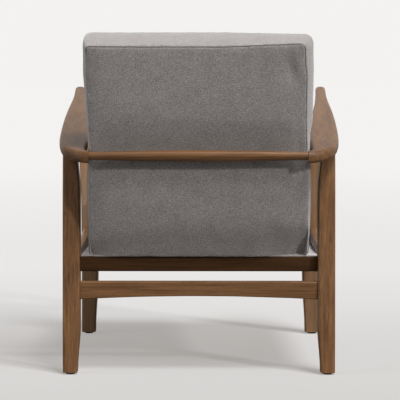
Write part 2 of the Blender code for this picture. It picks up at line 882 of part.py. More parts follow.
def round_corner(u, v, half_u, half_v, radius):
    """Maps a point of a square-cornered sheet to one with round corners."""
    beyond_u = abs(u) - (half_u - radius)
    beyond_v = abs(v) - (half_v - radius)
    if beyond_u <= 0 or beyond_v <= 0:
        return u, v
    share_u = beyond_u / radius
    share_v = beyond_v / radius
    new_u = half_u - radius + radius * share_u * math.sqrt(1 - share_v * share_v / 2)
    new_v = half_v - radius + radius * share_v * math.sqrt(1 - share_u * share_u / 2)
    return math.copysign(new_u, u), math.copysign(new_v, v)


def pillow(u, v, half_u, half_v):
    """1 in the middle of a panel and 0 along its seams."""
    across = max(0.0, 1 - (u / half_u) ** 4)
    up = max(0.0, 1 - (v / half_v) ** 4)
    return across * up


def grid_lines(knots, count):
    """Every knot, and lines between them, about count in all."""
    knots = sorted(knots)
    step = (knots[-1] - knots[0]) / count
    lines = []
    for low, high in zip(knots, knots[1:]):
        parts = max(1, round((high - low) / step))
        lines += [low + (high - low) * i / parts for i in range(parts)]
    return lines + [knots[-1]]


def corner_lines(half, radius):
    """The edges of a sheet, and two lines inside each that bend with its rounded corners."""
    inside = half - radius
    middle = half - 0.35 * radius
    return [-half, -middle, -inside, inside, middle, half]


def round_button(places):
    """Three grid lines at each place: through it, and along both edges of its tuft's floor."""
    return [place + offset for place in places for offset in (-TUFT_FLOOR, 0, TUFT_FLOOR)]


def button_places():
    """(across, up the pad) of each button's centre."""
    places = []
    for row in range(BUTTON_ROWS):
        for column in range(BUTTON_COLUMNS):
            u = (column - (BUTTON_COLUMNS - 1) / 2) * BUTTON_PITCH_ACROSS
            places.append((u, BUTTON_LOWEST + row * BUTTON_PITCH_UP))
    return places


def pad_front(u, s):
    """How far forward the front panel stands: crowned, and pulled in at each button."""
    half_s = PAD_HEIGHT / 2
    crown = PAD_FRONT_CROWN * pillow(u, s - half_s, PAD_WIDTH / 2, half_s)
    depth = PAD_THICKNESS + crown
    floor = PAD_THICKNESS - TUFT_DEPTH
    pull = 0.0
    for button_u, button_s in button_places():
        away = max(abs(u - button_u), abs(s - button_s)) - TUFT_FLOOR
        if away < 1e-5:
            return floor
        distance = max(0.0, math.hypot(u - button_u, s - button_s) - TUFT_FLOOR)
        pull = max(pull, math.exp(-((distance / TUFT_SPREAD) ** 2)))
    return depth + pull * (floor - depth)


def build_back_pad(finish):
    half_u = PAD_WIDTH / 2
    half_s = PAD_HEIGHT / 2
    columns = sorted({place[0] for place in button_places()})
    rows = sorted({place[1] - half_s for place in button_places()})
    us = grid_lines([*corner_lines(half_u, PAD_CORNER), *round_button(columns)], 12)
    vs = grid_lines([*corner_lines(half_s, PAD_CORNER), *round_button(rows)], 12)
    ws = grid_lines([0.0, pad_depth_over(rear_rail_front_y()), PAD_THICKNESS], 4)
    bm = box_grid(us, vs, ws)
    for vert in bm.verts:
        u, v, w = vert.co
        on_side = abs(abs(u) - half_u) < 1e-5
        on_top = abs(v - half_s) < 1e-5
        bulge = 1 - (2 * w / PAD_THICKNESS - 1) ** 2
        new_u, new_v = round_corner(u, v, half_u, half_s, PAD_CORNER)
        s = new_v + half_s
        low = PAD_SWELL_LOW * blend((PAD_SWELL_LOW_END - s) / PAD_SWELL_RUN)
        high = PAD_SWELL_HIGH * blend((s - PAD_SWELL_HIGH_START) / PAD_SWELL_RUN)
        new_u *= 1 + low / half_u
        if w <= 0:
            w = -PAD_REAR_CROWN * pillow(u, v, half_u, half_s)
        elif w >= PAD_THICKNESS:
            w = pad_front(u, v + half_s)
        if on_side:
            new_u += math.copysign((PAD_SIDE_BULGE + high) * bulge, u)
        if on_top:
            s += PAD_TOP_BULGE * bulge
        vert.co = pad_point(new_u, pad_settled(s, w), w)
    bmesh.ops.triangulate(bm, faces=bm.faces)
    pad = add_piece("back_pad", bm, finish, pad_point(0, 0, 0))
    low = (-BOARD_WIDTH / 2, -BOARD_INSET, BOARD_INSET)
    high = (BOARD_WIDTH / 2, BOARD_HEIGHT, BOARD_INSET + BOARD_THICKNESS)
    cut(pad, pad_box(*grown(low, high, JOINT_GAP)), "board_pocket")
    return pad


def pad_box(low, high):
    """A box in the pad's own directions."""
    bm = box(low, high)
    for vert in bm.verts:
        vert.co = pad_point(*vert.co)
    return bm


def pad_rod(u, s, start_w, end_w, radius, sides):
    return rod(pad_point(u, s, start_w), pad_point(u, s, end_w), radius, sides)


def build_back_board(finish):
    low = (-BOARD_WIDTH / 2, 0.0, BOARD_INSET)
    high = (BOARD_WIDTH / 2, BOARD_HEIGHT, BOARD_INSET + BOARD_THICKNESS)
    return add_piece("back_board", pad_box(low, high), finish, pad_point(0, 0, BOARD_INSET))


def build_buttons(pad, board, finish):
    """Covered buttons, each with its twine running back through the foam and the board."""
    floor = PAD_THICKNESS - TUFT_DEPTH + JOINT_GAP
    twine = floor - BOARD_INSET
    for index, (u, row) in enumerate(button_places()):
        s = pad_settled(row, floor)
        name = f"back_button_{index + 1}"
        forward = (pad_point(0, 0, 1) - pad_point(0, 0, 0)).normalized()
        start = pad_point(u, s, BOARD_INSET)
        profile = [
            (0.0, TWINE_RADIUS),
            (twine, TWINE_RADIUS),
            (twine, BUTTON_RADIUS * 0.92),
            (twine + 0.3 * BUTTON_HEIGHT, BUTTON_RADIUS),
            (twine + 0.75 * BUTTON_HEIGHT, BUTTON_RADIUS * 0.72),
            (twine + BUTTON_HEIGHT, BUTTON_RADIUS * 0.25),
        ]
        add_piece(name, turned(start, forward, profile, BUTTON_SIDES), finish, start)
        radius = hole_radius(TWINE_RADIUS, TWINE_SIDES)
        reach = BOARD_INSET - JOINT_GAP
        cut(pad, pad_rod(u, s, reach, floor + 0.01, radius, TWINE_SIDES), f"pad_{name}")
        cut(board, pad_rod(u, s, reach - 0.01, floor, radius, TWINE_SIDES), f"board_{name}")


# Cross rail behind the pad


def build_cross_rail(finish):
    """A rail that swells toward its middle, leaning with the pad, with a tenon at each end."""
    middle_s, middle_w = cross_rail_on_pad()

    def ring(x, depth, height, radius):
        points = []
        for a, b in rounded_rectangle(depth / 2, height / 2, radius):
            points.append(pad_point(x, middle_s + b, middle_w - a))
        return points

    rings = []
    for i in range(CROSS_RAIL_STEPS + 1):
        x = CROSS_RAIL_END * (2 * i / CROSS_RAIL_STEPS - 1)
        swell = 1 - (x / CROSS_RAIL_END) ** 2
        depth = CROSS_RAIL_END_DEPTH + swell * (CROSS_RAIL_DEPTH - CROSS_RAIL_END_DEPTH)
        height = CROSS_RAIL_END_HEIGHT + swell * (CROSS_RAIL_HEIGHT - CROSS_RAIL_END_HEIGHT)
        rings.append(ring(x, depth, height, 0.45 * min(depth, height)))
    thin = CROSS_RAIL_END_HEIGHT - 2 * TENON_SHOULDER
    tenon_x = CROSS_RAIL_END + TENON_LENGTH
    tenon = [(tenon_x, TENON_THICKNESS), (CROSS_RAIL_END, TENON_THICKNESS)]
    radius = RAIL_ARRIS / 2
    left = [ring(x, width, thin, radius) for x, width in tenon]
    right = [ring(-x, width, thin, radius) for x, width in tenon]
    anchor = pad_point(0, middle_s, middle_w)
    return add_piece("back_cross_rail", loft(right + rings + left[::-1]), finish, anchor), thin


def cross_rail_mortise(side, thin):
    """The hole in the arm's end for the cross rail's tenon."""
    middle_s, middle_w = cross_rail_on_pad()
    xs = sorted((side * (CROSS_RAIL_END - 0.01), side * (CROSS_RAIL_END + TENON_LENGTH)))
    half = TENON_THICKNESS / 2
    low = (xs[0], middle_s - thin / 2, middle_w - half)
    high = (xs[1], middle_s + thin / 2, middle_w + half)
    return pad_box(*grown(low, high, JOINT_GAP))


def build_back_pins(pad, board, rail, finish):
    """Pins that stand in the cross rail and reach through the pad's back into its board."""
    s, middle_w = cross_rail_on_pad()
    start_w = middle_w + CROSS_RAIL_DEPTH / 2 - PIN_IN_RAIL
    end_w = BOARD_INSET + BOARD_THICKNESS
    radius = hole_radius(PIN_RADIUS, PIN_SIDES)
    for side, word in ((1, "left"), (-1, "right")):
        u = side * PIN_SPACING / 2
        name = f"back_pin_{word}"
        pin = pad_rod(u, s, start_w, end_w, PIN_RADIUS, PIN_SIDES)
        add_piece(name, pin, finish, pad_point(u, s, start_w))
        hole = start_w - JOINT_GAP, end_w + 0.0002
        for piece in (rail, pad, board):
            cutter = pad_rod(u, s, *hole, radius, PIN_SIDES)
            cut(piece, cutter, f"{piece.name}_{name}")


# Seat cushion


def build_seat_cushion(finish):
    """A boxed cushion: crowned on top, its underside lying on the sagging deck."""
    half_u = SEAT_WIDTH / 2
    front = front_rail_front_y() - SEAT_OVERHANG
    rear = pad_front_y(DECK_REAR_TOP - DECK_SAG) - PAD_FRONT_CROWN - SEAT_BACK_GAP
    half_v = (rear - front) / 2
    middle = (rear + front) / 2
    us = grid_lines(corner_lines(half_u, SEAT_CORNER), 11)
    vs = grid_lines([*corner_lines(half_v, SEAT_CORNER), front_rail_rear_y() - middle], 11)
    ws = [i / 4 for i in range(5)]
    bm = box_grid(us, vs, ws)
    for vert in bm.verts:
        u, v, share = vert.co
        new_u, new_v = round_corner(u, v, half_u, half_v, SEAT_CORNER)
        bulge = 1 - (2 * share - 1) ** 2
        if abs(abs(u) - half_u) < 1e-5:
            waist = SEAT_DRAWN_IN * max(0.0, 1 - (v / half_v) ** 2)
            new_u += math.copysign(SEAT_SIDE_BULGE * bulge - waist, u)
        if abs(v + half_v) < 1e-5:
            new_v -= SEAT_SIDE_BULGE * bulge
        y = middle + new_v
        bottom = deck_top(y) + SOFT_GAP + JOINT_GAP
        top = side_rail_top(y) + SEAT_RISE
        if share >= 1:
            top += SEAT_CROWN * pillow(u, v, half_u, half_v)
        z = bottom + share * (top - bottom)
        back = (new_v + half_v) / (2 * half_v)
        y += back * (z - bottom) * math.tan(RECLINE)
        vert.co = Vector((new_u, y, z))
    bmesh.ops.triangulate(bm, faces=bm.faces)
    return add_piece("seat_cushion", bm, finish, (0, middle, deck_top(middle)))


def centre_over_floor():
    """Moves the chair so that the floor under the middle of its box is the origin."""
    bpy.context.view_layer.update()
    graph = bpy.context.evaluated_depsgraph_get()
    ys = []
    for obj in bpy.data.objects:
        if obj.type == "MESH" and not obj.hide_render:
            shape = obj.evaluated_get(graph)
            ys += [(shape.matrix_world @ Vector(corner)).y for corner in shape.bound_box]
    bpy.data.objects["chair"].location.y = -(min(ys) + max(ys)) / 2


def main():
    clear_scene()
    chair = bpy.data.objects.new("chair", None)
    bpy.context.scene.collection.objects.link(chair)
    walnut = material("walnut", WALNUT, 0.42)
    weave = material("grey_weave", GREY_WEAVE, 0.95)
    deck_grey = material("deck_cloth_grey", DECK_GREY, 0.95)
    webbing = material("black_webbing", WEBBING_BLACK, 0.8)
    ply = material("plywood", PLY, 0.7)
    steel = material("zinc_steel", STEEL, 0.35, 1.0)
    plastic = material("dark_plastic", DARK_PLASTIC, 0.5)

    legs = {}
    arm_tenons = {}
    rear_top_y = rear_leg_top_y()
    rear_knots = [
        GLIDE_HEIGHT,
        REAR_TAPER_HEIGHT,
        REAR_SHOULDER_HEIGHT,
        arm_under(rear_top_y) - UNDER_ARM,
    ]
    front_knots = [
        GLIDE_HEIGHT,
        FRONT_TAPER_HEIGHT,
        FRONT_BEND_HEIGHT,
        FRONT_BEND_HEIGHT + FRONT_BEND_LENGTH,
        front_leg_top() - UNDER_ARM,
    ]
    for side, word in ((1, "left"), (-1, "right")):
        rings, tenon = leg_rings(
            side,
            heights_between(rear_knots, (5, 1, 4)),
            lambda z: LEG_OUTER,
            rear_leg_size,
            rear_leg_y,
            rear_top_y,
        )
        foot = (side * (LEG_OUTER - REAR_FOOT_WIDTH / 2), REAR_FOOT_Y)
        name = f"rear_leg_{word}"
        legs["rear", side] = build_leg(name, rings, foot, walnut)
        build_glide(f"rear_glide_{word}", foot, plastic)
        arm_tenons[side] = {"rear_mortise": tenon}

        rings, tenon = leg_rings(
            side,
            heights_between(front_knots, (5, 1, 4, 5)),
            front_leg_outer,
            front_leg_size,
            lambda z: FRONT_LEG_Y,
            FRONT_LEG_Y,
        )
        foot_x = LEG_OUTER + FRONT_FOOT_SPLAY - FRONT_FOOT_WIDTH / 2
        foot = (side * foot_x, FRONT_LEG_Y)
        name = f"front_leg_{word}"
        legs["front", side] = build_leg(name, rings, foot, walnut)
        build_glide(f"front_glide_{word}", foot, plastic)
        arm_tenons[side]["front_mortise"] = tenon

    # Rails across the chair
    rear_inner = LEG_OUTER - REAR_WIDTH - JOINT_GAP
    front_inner = LEG_OUTER - FRONT_WIDTH - JOINT_GAP
    stretcher_y = rear_leg_y(STRETCHER_TOP - STRETCHER_END_HEIGHT / 2) + STRETCHER_BEHIND
    specs = (
        (
            "rear_seat_rail",
            "rear",
            rear_inner,
            (rear_rail_front_y(), REAR_RAIL_REAR_Y),
            lambda x: REAR_RAIL_TOP - REAR_RAIL_HEIGHT,
            lambda x: REAR_RAIL_TOP,
            1,
        ),
        (
            "front_seat_rail",
            "front",
            front_inner,
            (front_rail_front_y(), front_rail_rear_y()),
            lambda x: FRONT_RAIL_TOP - FRONT_RAIL_HEIGHT,
            lambda x: FRONT_RAIL_TOP,
            1,
        ),
        (
            "rear_stretcher",
            "rear",
            rear_inner,
            (stretcher_y - STRETCHER_THICKNESS / 2, stretcher_y + STRETCHER_THICKNESS / 2),
            lambda x: stretcher_bottom(x / rear_inner),
            lambda x: STRETCHER_TOP,
            STRETCHER_STEPS,
        ),
    )
    for name, end, inner, (front, rear), bottom_at, top_at, steps in specs:
        rings, tenons = across_rail_rings(inner, -inner, front, rear, bottom_at, top_at, steps)
        anchor = (0, (front + rear) / 2, top_at(0))
        rail = add_piece(name, loft(rings), walnut, anchor)
        for side, tenon in zip((-1, 1), tenons):
            cut(legs[end, side], box(*grown(*tenon, JOINT_GAP)), f"{name}_mortise_{side + 1}")
        if name == "rear_seat_rail":
            cut(rail, rabbet_cutter(front, 1, DECK_REAR_TOP, inner), "rear_rabbet")
        if name == "front_seat_rail":
            cut(rail, rabbet_cutter(rear, -1, DECK_FRONT_TOP, inner), "front_rabbet")

    for side, word in ((1, "left"), (-1, "right")):
        rail, tenons = build_side_rail(f"side_seat_rail_{word}", side, walnut)
        for end, tenon in tenons.items():
            cut(legs[end, side], box(*grown(*tenon, JOINT_GAP)), f"side_mortise_{end}_{word}")
        for end in ("front", "rear"):
            hole, label = build_corner_block(end, side, ply, steel)
            cut(legs[end, side], hole, label)

    build_straps(webbing)
    build_deck_cloth(deck_grey)
    build_seat_cushion(weave)

    pad = build_back_pad(weave)
    board = build_back_board(ply)
    build_buttons(pad, board, weave)
    cross_rail, thin = build_cross_rail(walnut)
    build_back_pins(pad, board, cross_rail, steel)
    for side, word in ((1, "left"), (-1, "right")):
        arm = build_arm(f"arm_{word}", side, arm_tenons[side], walnut)
        cut(arm, cross_rail_mortise(side, thin), f"cross_mortise_{word}")
    centre_over_floor()


main()
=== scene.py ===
"""Button back armchair: walnut frame, grey woven cushions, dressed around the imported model.

The frame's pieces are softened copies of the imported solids. The back pad and the seat cushion are
boxed cushions cut into a fine grid, puffed by a cloth simulation and sewn along their seams.
"""

import json
import math

import bmesh
import bpy
import numpy as np
from mathutils import Matrix, Vector, noise

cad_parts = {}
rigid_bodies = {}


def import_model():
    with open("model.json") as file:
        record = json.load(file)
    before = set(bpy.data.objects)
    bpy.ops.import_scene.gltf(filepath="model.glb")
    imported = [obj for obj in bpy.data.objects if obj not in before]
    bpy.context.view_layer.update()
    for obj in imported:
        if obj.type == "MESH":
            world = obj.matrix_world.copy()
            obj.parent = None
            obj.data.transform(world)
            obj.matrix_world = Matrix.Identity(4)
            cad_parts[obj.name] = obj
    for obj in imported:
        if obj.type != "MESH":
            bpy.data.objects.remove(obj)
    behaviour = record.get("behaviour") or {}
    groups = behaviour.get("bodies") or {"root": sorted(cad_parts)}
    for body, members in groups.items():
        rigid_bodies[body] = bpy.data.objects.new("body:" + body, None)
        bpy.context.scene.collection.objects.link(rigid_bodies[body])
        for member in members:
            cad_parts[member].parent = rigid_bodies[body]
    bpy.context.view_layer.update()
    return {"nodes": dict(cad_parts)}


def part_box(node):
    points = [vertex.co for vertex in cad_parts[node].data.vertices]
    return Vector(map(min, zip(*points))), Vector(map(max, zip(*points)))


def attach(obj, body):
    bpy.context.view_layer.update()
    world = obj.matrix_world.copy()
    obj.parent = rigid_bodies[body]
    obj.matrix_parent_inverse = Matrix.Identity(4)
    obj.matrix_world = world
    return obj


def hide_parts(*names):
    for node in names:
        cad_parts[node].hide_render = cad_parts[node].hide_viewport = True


bl_info = {
    "name": "Button Back Armchair",
    "version": (1, 0, 0),
    "blender": (4, 5, 0),
    "location": "View3D > Sidebar > Chair",
    "description": "Dresses a wooden lounge chair with a buttoned back pad and a seat cushion",
    "category": "Object",
}

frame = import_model()
nodes = frame["nodes"]


def at_each_leg(kind):
    return [f"{end}_{kind}_{side}" for end in ("front", "rear") for side in ("left", "right")]


LEGS = at_each_leg("leg")
ARMS = ["arm_left", "arm_right"]
SIDE_RAILS = ["side_seat_rail_left", "side_seat_rail_right"]
ACROSS_RAILS = ["front_seat_rail", "rear_seat_rail", "rear_stretcher", "back_cross_rail"]
BLOCKS = at_each_leg("corner_block")
SCREWS = at_each_leg("block_screw")
GLIDES = at_each_leg("glide")
BUTTONS = sorted(name for name in nodes if name.startswith("back_button"))
STRAPS = sorted(name for name in nodes if name.startswith("seat_strap"))
# Sizes along the chair are measured from the line through the front feet
FEET_Y = sum(corner.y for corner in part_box("front_glide_left")) / 2
# Points closer than this lie on one line
NEAR = 1e-4


# Settings that a user would change


def length_setting(name, description, default, **limits):
    return bpy.props.FloatProperty(
        name=name, description=description, default=default, unit="LENGTH", subtype="DISTANCE", **limits)


def angle_setting(name, description, degrees):
    return bpy.props.FloatProperty(
        name=name, description=description, default=math.radians(degrees), subtype="ANGLE",
        unit="ROTATION")


def colour_setting(name, description, default):
    return bpy.props.FloatVectorProperty(
        name=name, description=description, default=default, subtype="COLOR", min=0, max=1)


def light_setting(name, description, default):
    return bpy.props.FloatProperty(name=name, description=description, default=default, min=0)


class WoodFinish(bpy.types.PropertyGroup):
    heart: colour_setting("Dark Grain", "Colour of the darker bands", (0.064, 0.028, 0.0102))
    sap: colour_setting("Light Grain", "Colour of the lighter bands", (0.194, 0.096, 0.040))
    gloss: bpy.props.FloatProperty(
        name="Coat Roughness", description="Roughness of the satin coat",
        default=0.34, min=0, max=1, subtype="FACTOR")
    arris: length_setting("Arris", "Width of the softened edges", 0.0009, min=0.0001, max=0.004)


class FabricFinish(bpy.types.PropertyGroup):
    pale: colour_setting("Pale Yarn", "Colour of the lightest threads", (0.400, 0.369, 0.355))
    dark: colour_setting("Dark Yarn", "Colour of the darkest threads", (0.074, 0.067, 0.064))
    pitch: length_setting(
        "Thread Pitch", "Distance from one thread to the next", 0.0019, min=0.0005, max=0.01)


class PadShape(bpy.types.PropertyGroup):
    width: length_setting("Width", "Across the back pad", 0.541)
    height: length_setting("Height", "Up the back pad", 0.5404)
    thickness: length_setting("Thickness", "Through the back pad at its seams", 0.125)
    recline: angle_setting("Recline", "How far the pad leans back", 15.2)
    behind: length_setting(
        "Behind Feet", "How far the pad's rear foot is behind the front feet", 0.5579)
    foot: length_setting("Foot Height", "Height of the pad's rear foot", 0.2935)
    corner: length_setting("Corner", "Radius that the pad's corners are shares of", 0.024)
    belly: length_setting("Belly", "How far the foot of the rear face bulges", 0.011, min=0)
    tuft: length_setting("Tuft Depth", "How far a button pulls the front face in", 0.006)


class SeatShape(bpy.types.PropertyGroup):
    width: length_setting("Width", "Across the seat cushion", 0.544)
    front: length_setting(
        "Ahead of Feet", "How far the front seam is ahead of the front feet", 0.0430)
    rear: length_setting(
        "Behind Feet", "How far the rear foot is behind the front feet", 0.406836)
    front_top: length_setting("Front Top", "Height of the upper front seam", 0.418316)
    slope: bpy.props.FloatProperty(
        name="Slope", description="Fall of the seat for each metre toward the rear", default=0.072)
    crown: length_setting("Crown", "How far the top swells above its seams", 0.016)
    corner: length_setting("Corner", "Radius of the cushion's corners", 0.030)


class Studio(bpy.types.PropertyGroup):
    key: light_setting("Key Light", "Strength of the light beside the camera", 2.1)
    top: light_setting("Top Light", "Strength of the light overhead", 3.7)
    sky: light_setting("Fill Light", "Strength of the even light from all around", 0.25)
    side: light_setting("Side Light", "Strength of the weak light from the other side", 1.1)
    front: light_setting("Front Light", "Strength of the soft light before the chair", 1.1)
    key_height: angle_setting("Key Height", "Angle of the key light above the floor", 27)
    top_height: angle_setting("Top Height", "Angle of the overhead light above the floor", 62)
    key_turn: angle_setting("Key Turn", "Angle of the key light from the camera's side", 54)
    top_turn: angle_setting("Top Turn", "Angle of the overhead light from the camera's side", 40)
    lens: bpy.props.FloatProperty(
        name="Lens", description="Focal length on a 36 mm sensor", default=131.94, min=10, unit="CAMERA")


# Handling objects


def deselect_all():
    for piece in bpy.context.view_layer.objects:
        piece.select_set(False)


def pick(piece):
    """Makes a piece the only selected and active one."""
    deselect_all()
    piece.select_set(True)
    bpy.context.view_layer.objects.active = piece


def add_primitive(kind, **settings):
    deselect_all()
    getattr(bpy.ops.mesh, f"primitive_{kind}_add")(**settings)
    return bpy.context.active_object


def edit(piece):
    pick(piece)
    bpy.ops.object.mode_set(mode="EDIT")
    bpy.ops.mesh.select_all(action="SELECT")


def leave_edit():
    bpy.ops.object.mode_set(mode="OBJECT")


def apply(piece, kind, **settings):
    """Adds a modifier and applies it."""
    modifier = piece.modifiers.new(kind.title(), kind)
    for key, value in settings.items():
        setattr(modifier, key, value)
    pick(piece)
    bpy.ops.object.modifier_apply(modifier=modifier.name)


def smooth_by_angle(piece, degrees, **settings):
    pick(piece)
    bpy.ops.object.shade_smooth_by_angle(angle=math.radians(degrees), **settings)


def settle(piece, name, *stands_for, slot, finishes):
    """Names a finished piece, gives it its body and its materials and hides the nodes that it stands for; its
    slot is not used.
    """
    piece.name = name
    piece.data.name = name
    piece.data.materials.clear()
    for finish in finishes:
        piece.data.materials.append(finish)
    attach(piece, "root")
    if stands_for:
        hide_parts(*stands_for)
    return piece


def coordinates(piece, what="co"):
    found = np.empty(len(piece.data.vertices) * 3, np.float32)
    piece.data.vertices.foreach_get(what, found)
    return found.reshape(-1, 3).astype(float)


def normals(piece):
    return coordinates(piece, "normal")


def set_coordinates(piece, points):
    piece.data.vertices.foreach_set("co", np.asarray(points, np.float32).ravel())
    piece.data.update()


def write_attribute(piece, name, values):
    attribute = piece.data.attributes.new(name, "FLOAT", "POINT")
    attribute.data.foreach_set("value", np.asarray(values, np.float32))


def read_attribute(piece, name):
    values = np.empty(len(piece.data.vertices), np.float32)
    piece.data.attributes[name].data.foreach_get("value", values)
    return values


def lay_flat(piece, flat):
    """Names a piece's map "weave" and lays each vertex at its flat place in metres."""
    layer = piece.data.uv_layers[0]
    layer.name = "weave"
    for face in piece.data.polygons:
        for loop, vertex in zip(face.loop_indices, face.vertices):
            layer.data[loop].uv = flat[vertex]


def smooth_step(share):
    share = np.clip(share, 0.0, 1.0)
    return share * share * (3 - 2 * share)


def rise(value, start, run):
    """0 up to the start, and smoothly up to 1 a run beyond it."""
    return smooth_step((value - start) / run)


def fall(value, end, run):
    """1 until a run before the end, and smoothly down to 0 there."""
    return smooth_step((end - value) / run)


# Laying out material nodes


def add_node(tree, kind, inputs=None, **settings):
    made = tree.nodes.new(kind)
    for key, value in settings.items():
        setattr(made, key, value)
    for key, value in (inputs or {}).items():
        if isinstance(value, bpy.types.NodeSocket):
            tree.links.new(value, made.inputs[key])
        else:
            made.inputs[key].default_value = value
    return made


def object_place(tree):
    return tree.nodes.new("ShaderNodeTexCoord").outputs["Object"]


def weave_place(tree):
    return add_node(tree, "ShaderNodeUVMap", uv_map="weave").outputs[0]


def maths(tree, operation, first, second=0.0):
    return add_node(tree, "ShaderNodeMath", {0: first, 1: second}, operation=operation).outputs[0]


def times(tree, first, second):
    return maths(tree, "MULTIPLY", first, second)


def total(tree, first, *others):
    for other in others:
        first = maths(tree, "ADD", first, other)
    return first


def waves(tree, value, length):
    return maths(tree, "SINE", times(tree, value, 2 * math.pi / length))


def stretch(tree, vector, along):
    """Scales a vector's third direction, so that a pattern runs along it."""
    return add_node(
        tree, "ShaderNodeVectorMath", {0: vector, 1: (1, 1, along)}, operation="MULTIPLY").outputs[0]


def noise_value(tree, vector, scale, detail=2.0, distortion=0.0, roughness=0.5):
    return add_node(
        tree, "ShaderNodeTexNoise",
        {"Vector": vector, "Scale": scale, "Detail": detail, "Distortion": distortion,
         "Roughness": roughness}).outputs[0]


def remap(tree, value, low, high, to_low=0.0, to_high=1.0):
    return add_node(
        tree, "ShaderNodeMapRange",
        {0: value, 1: low, 2: high, 3: to_low, 4: to_high}, clamp=True).outputs[0]


def mix_colours(tree, factor, first, second, blend="MIX"):
    made = add_node(tree, "ShaderNodeMix", data_type="RGBA", blend_type=blend)
    for index, value in ((0, factor), (6, first), (7, second)):
        if isinstance(value, bpy.types.NodeSocket):
            tree.links.new(value, made.inputs[index])
        elif index:
            made.inputs[index].default_value = (*value, 1.0)
        else:
            made.inputs[index].default_value = value
    return made.outputs[2]


def new_material(name, roughness, coat=0.0, coat_roughness=0.3, sheen=0.0, metallic=0.0, specular=0.5):
    made = bpy.data.materials.new(name)
    made.use_nodes = True
    tree = made.node_tree
    shader = tree.nodes["Principled BSDF"]
    for key, value in (
            ("Roughness", roughness), ("Coat Weight", coat), ("Coat Roughness", coat_roughness),
            ("Sheen Weight", sheen), ("Sheen Roughness", 0.45), ("Metallic", metallic),
            ("Specular IOR Level", specular)):
        shader.inputs[key].default_value = value
    return made, tree, shader


def dress(tree, shader, colour, height, distance, strength, rough=None):
    """Links a material's colour and relief, and its roughness where that varies."""
    relief = add_node(
        tree, "ShaderNodeBump", {"Height": height, "Distance": distance, "Strength": strength})
    for name, value in (("Base Color", colour), ("Normal", relief.outputs[0]), ("Roughness", rough)):
        if value is not None:
            tree.links.new(value, shader.inputs[name])


# Walnut


PALE_WALNUT, DARK_WALNUT = (0.42, 0.27, 0.16), (0.012, 0.005, 0.002)
GRAIN_UP = (0.0, 0.0, 0.0)
GRAIN_ALONG = (math.radians(90), 0.0, 0.0)
GRAIN_ACROSS = (0.0, math.radians(90), 0.0)


def walnut_grain():
    """Figure, fibres and pores that run along the third direction of the vector."""
    finish = bpy.context.scene.chair_wood
    tree = bpy.data.node_groups.new("Walnut Grain", "ShaderNodeTree")
    tree.interface.new_socket("Vector", in_out="INPUT", socket_type="NodeSocketVector")
    for name, kind in (("Colour", "Color"), ("Height", "Float"), ("Roughness", "Float")):
        tree.interface.new_socket(name, in_out="OUTPUT", socket_type=f"NodeSocket{kind}")
    place = tree.nodes.new("NodeGroupInput").outputs[0]
    broad = noise_value(tree, stretch(tree, place, 0.16), 13, 3, 0.4)
    field = noise_value(tree, stretch(tree, place, 0.045), 17, 3, 0.45, 0.45)
    rings = maths(tree, "SINE", times(tree, field, 42))
    figure = remap(tree, rings, -0.9, 1.0)
    fibres = noise_value(tree, stretch(tree, place, 0.018), 760)
    streaks = noise_value(tree, stretch(tree, place, 0.022), 250, 2, 0.2, 0.6)
    pores = noise_value(tree, stretch(tree, place, 0.045), 1700, 1)
    pore = remap(tree, pores, 0.60, 0.70)
    tone = total(
        tree, times(tree, remap(tree, broad, 0.3, 0.72), 0.46), times(tree, figure, 0.26),
        remap(tree, fibres, 0.3, 0.7, -0.05, 0.25), remap(tree, streaks, 0.34, 0.66, -0.16, 0.28))
    colour = mix_colours(tree, tone, tuple(finish.heart), tuple(finish.sap))
    dark = tuple(0.42 * part for part in finish.heart)
    colour = mix_colours(tree, times(tree, pore, 0.5), colour, dark)
    height = maths(tree, "SUBTRACT", times(tree, fibres, 0.35), pore)
    rough = remap(tree, total(tree, fibres, pore), 0.3, 1.3, 0.40, 0.60)
    end = tree.nodes.new("NodeGroupOutput")
    for index, value in enumerate((colour, height, rough)):
        tree.links.new(value, end.inputs[index])
    return tree


def walnut(name, turn, offset, lighter=0.0, darker=0.0):
    """Walnut whose grain runs up, along the chair or across it, from its own part of the figure."""
    finish = bpy.context.scene.chair_wood
    made, tree, shader = new_material(
        name, 0.45, coat=0.45 * (1 - darker), coat_roughness=finish.gloss,
        specular=0.15 * (1 - darker))
    shader.inputs["Coat IOR"].default_value = 1.25
    grain = bpy.data.node_groups.get("Walnut Grain") or walnut_grain()
    turned = add_node(
        tree, "ShaderNodeMapping", {"Vector": object_place(tree), "Location": offset, "Rotation": turn})
    figure = add_node(tree, "ShaderNodeGroup", node_tree=grain)
    tree.links.new(turned.outputs[0], figure.inputs[0])
    colour = figure.outputs["Colour"]
    if lighter:
        colour = mix_colours(tree, lighter, colour, PALE_WALNUT)
    if darker:
        colour = mix_colours(tree, darker, colour, DARK_WALNUT)
    dress(tree, shader, colour, figure.outputs["Height"], 0.00012, 0.7, figure.outputs["Roughness"])
    return made


def softened(node, arris):
    """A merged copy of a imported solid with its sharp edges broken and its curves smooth."""
    mesh = nodes[node].data.copy()
    piece = bpy.data.objects.new(node, mesh)
    bpy.context.scene.collection.objects.link(piece)
    pick(piece)
    if mesh.has_custom_normals:
        bpy.ops.mesh.customdata_custom_splitnormals_clear()
    edit(piece)
    bpy.ops.mesh.remove_doubles(threshold=0.00002)
    bpy.ops.mesh.tris_convert_to_quads(
        face_threshold=math.radians(12), shape_threshold=math.radians(60))
    bpy.ops.mesh.select_all(action="SELECT")
    bpy.ops.mesh.dissolve_limited(angle_limit=math.radians(0.4))
    leave_edit()
    # The bevel's faces take the second material; on the frame that is the lighter walnut of the painted
    # highlight along the arrises
    apply(piece, "BEVEL", width=arris, segments=2, limit_method="ANGLE",
          angle_limit=math.radians(35), material=1, harden_normals=False,
          miter_outer="MITER_ARC", use_clamp_overlap=True)
    smooth_by_angle(piece, 42, keep_sharp_edges=False)
    apply(piece, "WEIGHTED_NORMAL", keep_sharp=True, weight=50)
    return piece


